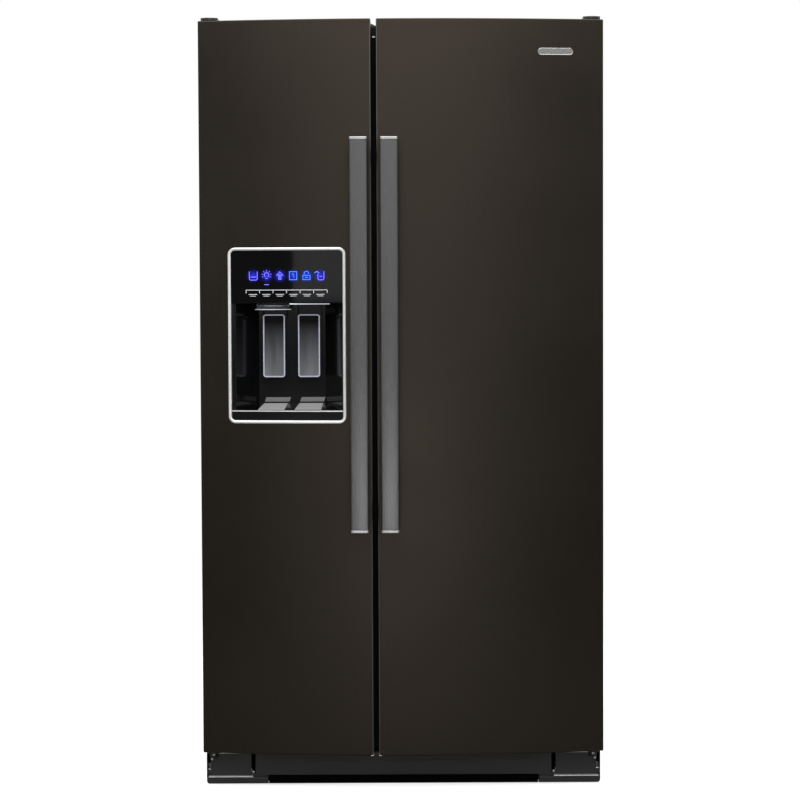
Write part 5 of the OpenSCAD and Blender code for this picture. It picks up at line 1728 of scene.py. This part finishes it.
@builder
class FRIDGE_OT_door_bins(bpy.types.Operator):
    """Clear moulded bins on the doors, with pale front trims"""

    bl_idname = "fridge.door_bins"
    bl_label = "Door Bins"

    def execute(self, context):
        s = inside()
        for door in ("freezer_door", "fridge_door"):
            node = door + "_bins"
            shells, trims = bmesh.new(), bmesh.new()
            for a, b in solids(node):
                x, y = (a.x, b.x), (a.y + 0.0005, b.y)
                if b.z - a.z > 0.12:
                    self.dairy(shells, trims, x, y, (a.z, b.z))
                    continue
                bin_shell(shells, x, y, (a.z, b.z), s.bin_wall, s.bin_corner)
                end, trim, drop, tall = 0.012, 0.0035, 0.004, 0.018
                z = (b.z - drop - tall, b.z - drop)
                soft_box(trims, (x[0] + end, x[1] - end), (b.y - trim, b.y), z, 0.0014, 0.0012, "x")
            obj = piece(node + "_clear", shells, finish("clear_bin"), door, 40.0)
            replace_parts(obj, node)
            piece(node + "_trims", trims, finish("white_plastic"), door, 30.0)
        return {"FINISHED"}

    def dairy(self, shells, trims, x, y, z):
        """The dairy compartment: floor, roof and two sides."""
        wall = inside().bin_wall
        soft_box(shells, x, y, (z[0], z[0] + wall), 0.0014, 0.0012, "x")
        soft_box(shells, x, y, (z[1] - wall - 0.001, z[1]), 0.0014, 0.0012, "x")
        for side in ((x[0], x[0] + wall), (x[1] - wall, x[1])):
            soft_box(shells, side, y, (z[0] + 0.001, z[1] - 0.001), 0.0014, 0.0012, "y")
        gap, wide, tall = 0.016, 0.0045, 0.009
        x = (x[0] + wall, x[1] - wall)
        top = z[1] - wall
        soft_box(trims, x, (y[1] - gap - wide, y[1] - gap), (top - tall, top), 0.0015, 0.0012, "x")


@builder
class FRIDGE_OT_drawers(bpy.types.Operator):
    """Clear crispers with moulded fronts, handles and humidity slides"""

    bl_idname = "fridge.drawers"
    bl_label = "Crispers"

    def execute(self, context):
        s = inside()
        for node, body in (("crisper_upper", "upper_crisper"), ("crisper_lower", "lower_crisper")):
            a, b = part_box(node)
            x, z = (a.x, b.x), (a.z, b.z)
            bm = bmesh.new()
            bin_shell(bm, (x[0] + 0.001, x[1] - 0.001), (a.y + 0.006, b.y), z, s.bin_wall, s.bin_corner)
            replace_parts(piece(node + "_clear", bm, finish("clear_bin"), body, 40.0), node)
            bm = bmesh.new()
            mid, grip = (x[0] + x[1]) / 2, 0.075
            soft_box(bm, x, (a.y + 0.0015, a.y + 0.0065), (z[1] - 0.042, z[1]), 0.004, 0.002, "y")
            grip_z, slot_z, slide_z = (
                (z[1] - drop - tall, z[1] - drop) for drop, tall in ((0.028, 0.006), (0.009, 0.007), (0.006, 0.013))
            )
            soft_box(bm, (mid - grip, mid + grip), (a.y, a.y + 0.005), grip_z, 0.0022, 0.0016, "y")
            soft_box(bm, (x[1] - 0.085, x[1] - 0.025), (a.y + 0.0004, a.y + 0.004), slot_z, 0.002, 0.001, "y")
            soft_box(bm, (x[1] - 0.062, x[1] - 0.048), (a.y, a.y + 0.004), slide_z, 0.002, 0.001, "y")
            piece(node + "_front", bm, finish("white_plastic"), body, 30.0)
        return {"FINISHED"}


@builder
class FRIDGE_OT_lamps(bpy.types.Operator):
    """Lit diffusers in the two compartments' ceilings"""

    bl_idname = "fridge.lamps"
    bl_label = "Inside Lamps"

    def execute(self, context):
        light = lamp_material("inside_light", (0.95, 0.97, 1.0), inside().lamp_light)
        bm = bmesh.new()
        wall = 0.002
        for node in ("freezer_liner", "fridge_liner"):
            a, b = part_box(node)
            mid = (a.x + b.x) / 2
            z = b.z - wall
            y = a.y + 0.055
            soft_box(bm, (mid - 0.07, mid + 0.07), (y, y + 0.045), (z - 0.006, z + 0.0005), 0.006, 0.002)
        piece("ceiling_lamps", bm, light, "cabinet", 35.0)
        return {"FINISHED"}


@builder
class FRIDGE_OT_stage(bpy.types.Operator):
    """Pale floor, soft studio light and the camera"""

    bl_idname = "fridge.stage"
    bl_label = "Stage"

    def execute(self, context):
        self.floor()
        self.world(context.scene)
        self.lights(context.scene)
        self.camera(context.scene)
        context.scene.view_settings.view_transform = "Standard"
        return {"FINISHED"}

    def floor(self):
        """A round pale floor that fades away at its edge."""
        bm = bmesh.new()
        rings, sides, radius = 10, 72, stage_sizes().floor_radius
        centre = bm.verts.new((0, 0, 0))
        rows = []
        for r in range(1, rings + 1):
            reach = radius * r / rings
            row = []
            for k in range(sides):
                a = 2 * math.pi * k / sides
                row.append(bm.verts.new((reach * math.cos(a), reach * math.sin(a), 0)))
            rows.append(row)
        for k in range(sides):
            m = (k + 1) % sides
            bm.faces.new((centre, rows[0][k], rows[0][m]))
            for r in range(rings - 1):
                bm.faces.new((rows[r][k], rows[r + 1][k], rows[r + 1][m], rows[r][m]))
        mesh = bpy.data.meshes.new("floor")
        bm.to_mesh(mesh)
        bm.free()
        obj = bpy.data.objects.new("floor", mesh)
        bpy.context.scene.collection.objects.link(obj)
        mat, tree, shader = new_material("pale_floor")
        place = tree.nodes.new("ShaderNodeTexCoord")
        size = tree.nodes.new("ShaderNodeVectorMath")
        size.operation = "LENGTH"
        tree.links.new(place.outputs["Object"], size.inputs[0])
        fade = spread(tree, size.outputs["Value"], (radius * 0.35, radius * 0.97), (1.0, 0.0))
        tree.links.new(fade, shader.inputs["Alpha"])
        tint = noise(tree, (3.0, 3.0, 3.0), 2.0)
        seen = tree.nodes.new("ShaderNodeLightPath")
        pale = blend_colour(tree, tint, (0.84, 0.84, 0.84), (0.86, 0.86, 0.86))
        toned = tree.nodes.new("ShaderNodeMix")
        toned.data_type = "RGBA"
        toned.inputs[6].default_value = (0.22, 0.21, 0.2, 1.0)
        tree.links.new(seen.outputs["Is Camera Ray"], toned.inputs["Factor"])
        tree.links.new(pale, toned.inputs[7])
        tree.links.new(toned.outputs[2], shader.inputs["Base Color"])
        lit = spread(tree, seen.outputs["Is Camera Ray"], (0.0, 1.0), (0.0, 0.55))
        tree.links.new(lit, shader.inputs["Emission Strength"])
        shader.inputs["Emission Color"].default_value = (1.0, 1.0, 1.0, 1.0)
        shader.inputs["Roughness"].default_value = 0.8
        shader.inputs["Specular IOR Level"].default_value = 0.0
        mesh.materials.append(mat)

    def world(self, scene):
        """White behind the object, and a dimmer even light for everything else."""
        world = bpy.data.worlds.new("studio")
        scene.world = world
        world.use_nodes = True
        tree = world.node_tree
        back = tree.nodes["Background"]
        back.inputs["Color"].default_value = (1.0, 1.0, 1.0, 1.0)
        ray = tree.nodes.new("ShaderNodeLightPath")
        around = tree.nodes.new("ShaderNodeTexCoord")
        split = tree.nodes.new("ShaderNodeSeparateXYZ")
        tree.links.new(around.outputs["Generated"], split.inputs[0])
        room = spread(tree, split.outputs["Y"], (-0.6, 0.3), (0.15, 0.4))
        seen = tree.nodes.new("ShaderNodeMix")
        seen.inputs[3].default_value = 1.0
        tree.links.new(ray.outputs["Is Camera Ray"], seen.inputs["Factor"])
        tree.links.new(room, seen.inputs[2])
        tree.links.new(seen.outputs[0], back.inputs["Strength"])

    def lights(self, scene):
        """A wide panel behind the camera, one overhead and one on each side."""
        low_corner, high_corner = CAD_BOX
        middle = (low_corner + high_corner) / 2
        panels = (
            ("front_panel", (0.0, -5.4, 2.0), (2.84, 2.0), 1.05, True),
            ("upper_panel", (0.0, -4.4, 3.8), (4.4, 1.4), 4.4, True),
            ("low_panel", (0.0, -5.2, 0.1), (0.5, 0.5), 7.0, True),
            ("low_wide_panel", (0.0, -5.0, 0.1), (3.0, 0.6), 0.9, True),
            ("top_panel", (0.0, -0.6, 3.6), (3.6, 3.0), 3.6, True),
            ("left_panel", (-3.2, -2.6, 1.6), (2.4, 2.6), 0.75, True),
            ("right_panel", (3.2, -2.6, 1.6), (2.4, 2.6), 0.75, True),
            ("key_panel", (0.0, -4.2, 2.6), (3.0, 2.0), 3.0, False),
            ("rear_panel", (0.0, 4.6, 2.0), (3.0, 2.4), 1.5, True),
        )
        for name, spot, size, radiance, glossy in panels:
            data = bpy.data.lights.new(name, "AREA")
            data.shape = "RECTANGLE"
            data.size, data.size_y = size
            data.energy = radiance * math.pi * size[0] * size[1]
            obj = bpy.data.objects.new(name, data)
            obj.location = spot
            level = name == "front_panel"
            aim = Vector((0.0, 1.0, 0.0)) if level else middle - Vector(spot)
            obj.rotation_euler = aim.to_track_quat("-Z", "Y").to_euler()
            obj.visible_camera = False
            obj.visible_glossy = glossy
            scene.collection.objects.link(obj)

    def camera(self, scene):
        """The camera, straight in front of the doors and a little above their middle."""
        s = stage_sizes()
        data = bpy.data.cameras.new("camera")
        data.lens = s.lens
        data.shift_x = s.shift_side
        data.shift_y = s.shift
        obj = bpy.data.objects.new("camera", data)
        edge = low("fridge_door_skin").y + doors().bow
        obj.location = (s.camera_side, edge - s.camera_gap, s.camera_height)
        obj.rotation_mode = "QUATERNION"
        look = Euler((math.pi / 2 - s.camera_pitch, 0.0, 0.0)).to_quaternion()
        roll = Euler((0.0, 0.0, -s.camera_roll)).to_quaternion()
        obj.rotation_quaternion = look @ roll
        scene.collection.objects.link(obj)
        scene.camera = obj


class FRIDGE_PT_pieces(bpy.types.Panel):
    """Lists the pieces of the refrigerator"""

    bl_label = "Refrigerator"
    bl_idname = "FRIDGE_PT_pieces"
    bl_space_type = "VIEW_3D"
    bl_region_type = "UI"
    bl_category = "Refrigerator"

    def draw(self, context):
        for cls in PIECES:
            self.layout.operator(cls.bl_idname)


SETTINGS = {
    "fridge_doors": DoorSettings,
    "fridge_handles": HandleSettings,
    "fridge_dispenser": DispenserSettings,
    "fridge_inside": InsideSettings,
    "fridge_stage": StageSettings,
}


def register():
    for name, cls in SETTINGS.items():
        bpy.utils.register_class(cls)
        setattr(bpy.types.Scene, name, PointerProperty(type=cls))
    for cls in PIECES:
        bpy.utils.register_class(cls)
    bpy.utils.register_class(FRIDGE_PT_pieces)


def unregister():
    bpy.utils.unregister_class(FRIDGE_PT_pieces)
    for cls in reversed(PIECES):
        bpy.utils.unregister_class(cls)
    for name, cls in reversed(SETTINGS.items()):
        delattr(bpy.types.Scene, name)
        bpy.utils.unregister_class(cls)


def main():
    register()
    for cls in PIECES:
        group, name = cls.bl_idname.split(".")
        getattr(getattr(bpy.ops, group), name)()


if __name__ == "__main__":
    main()
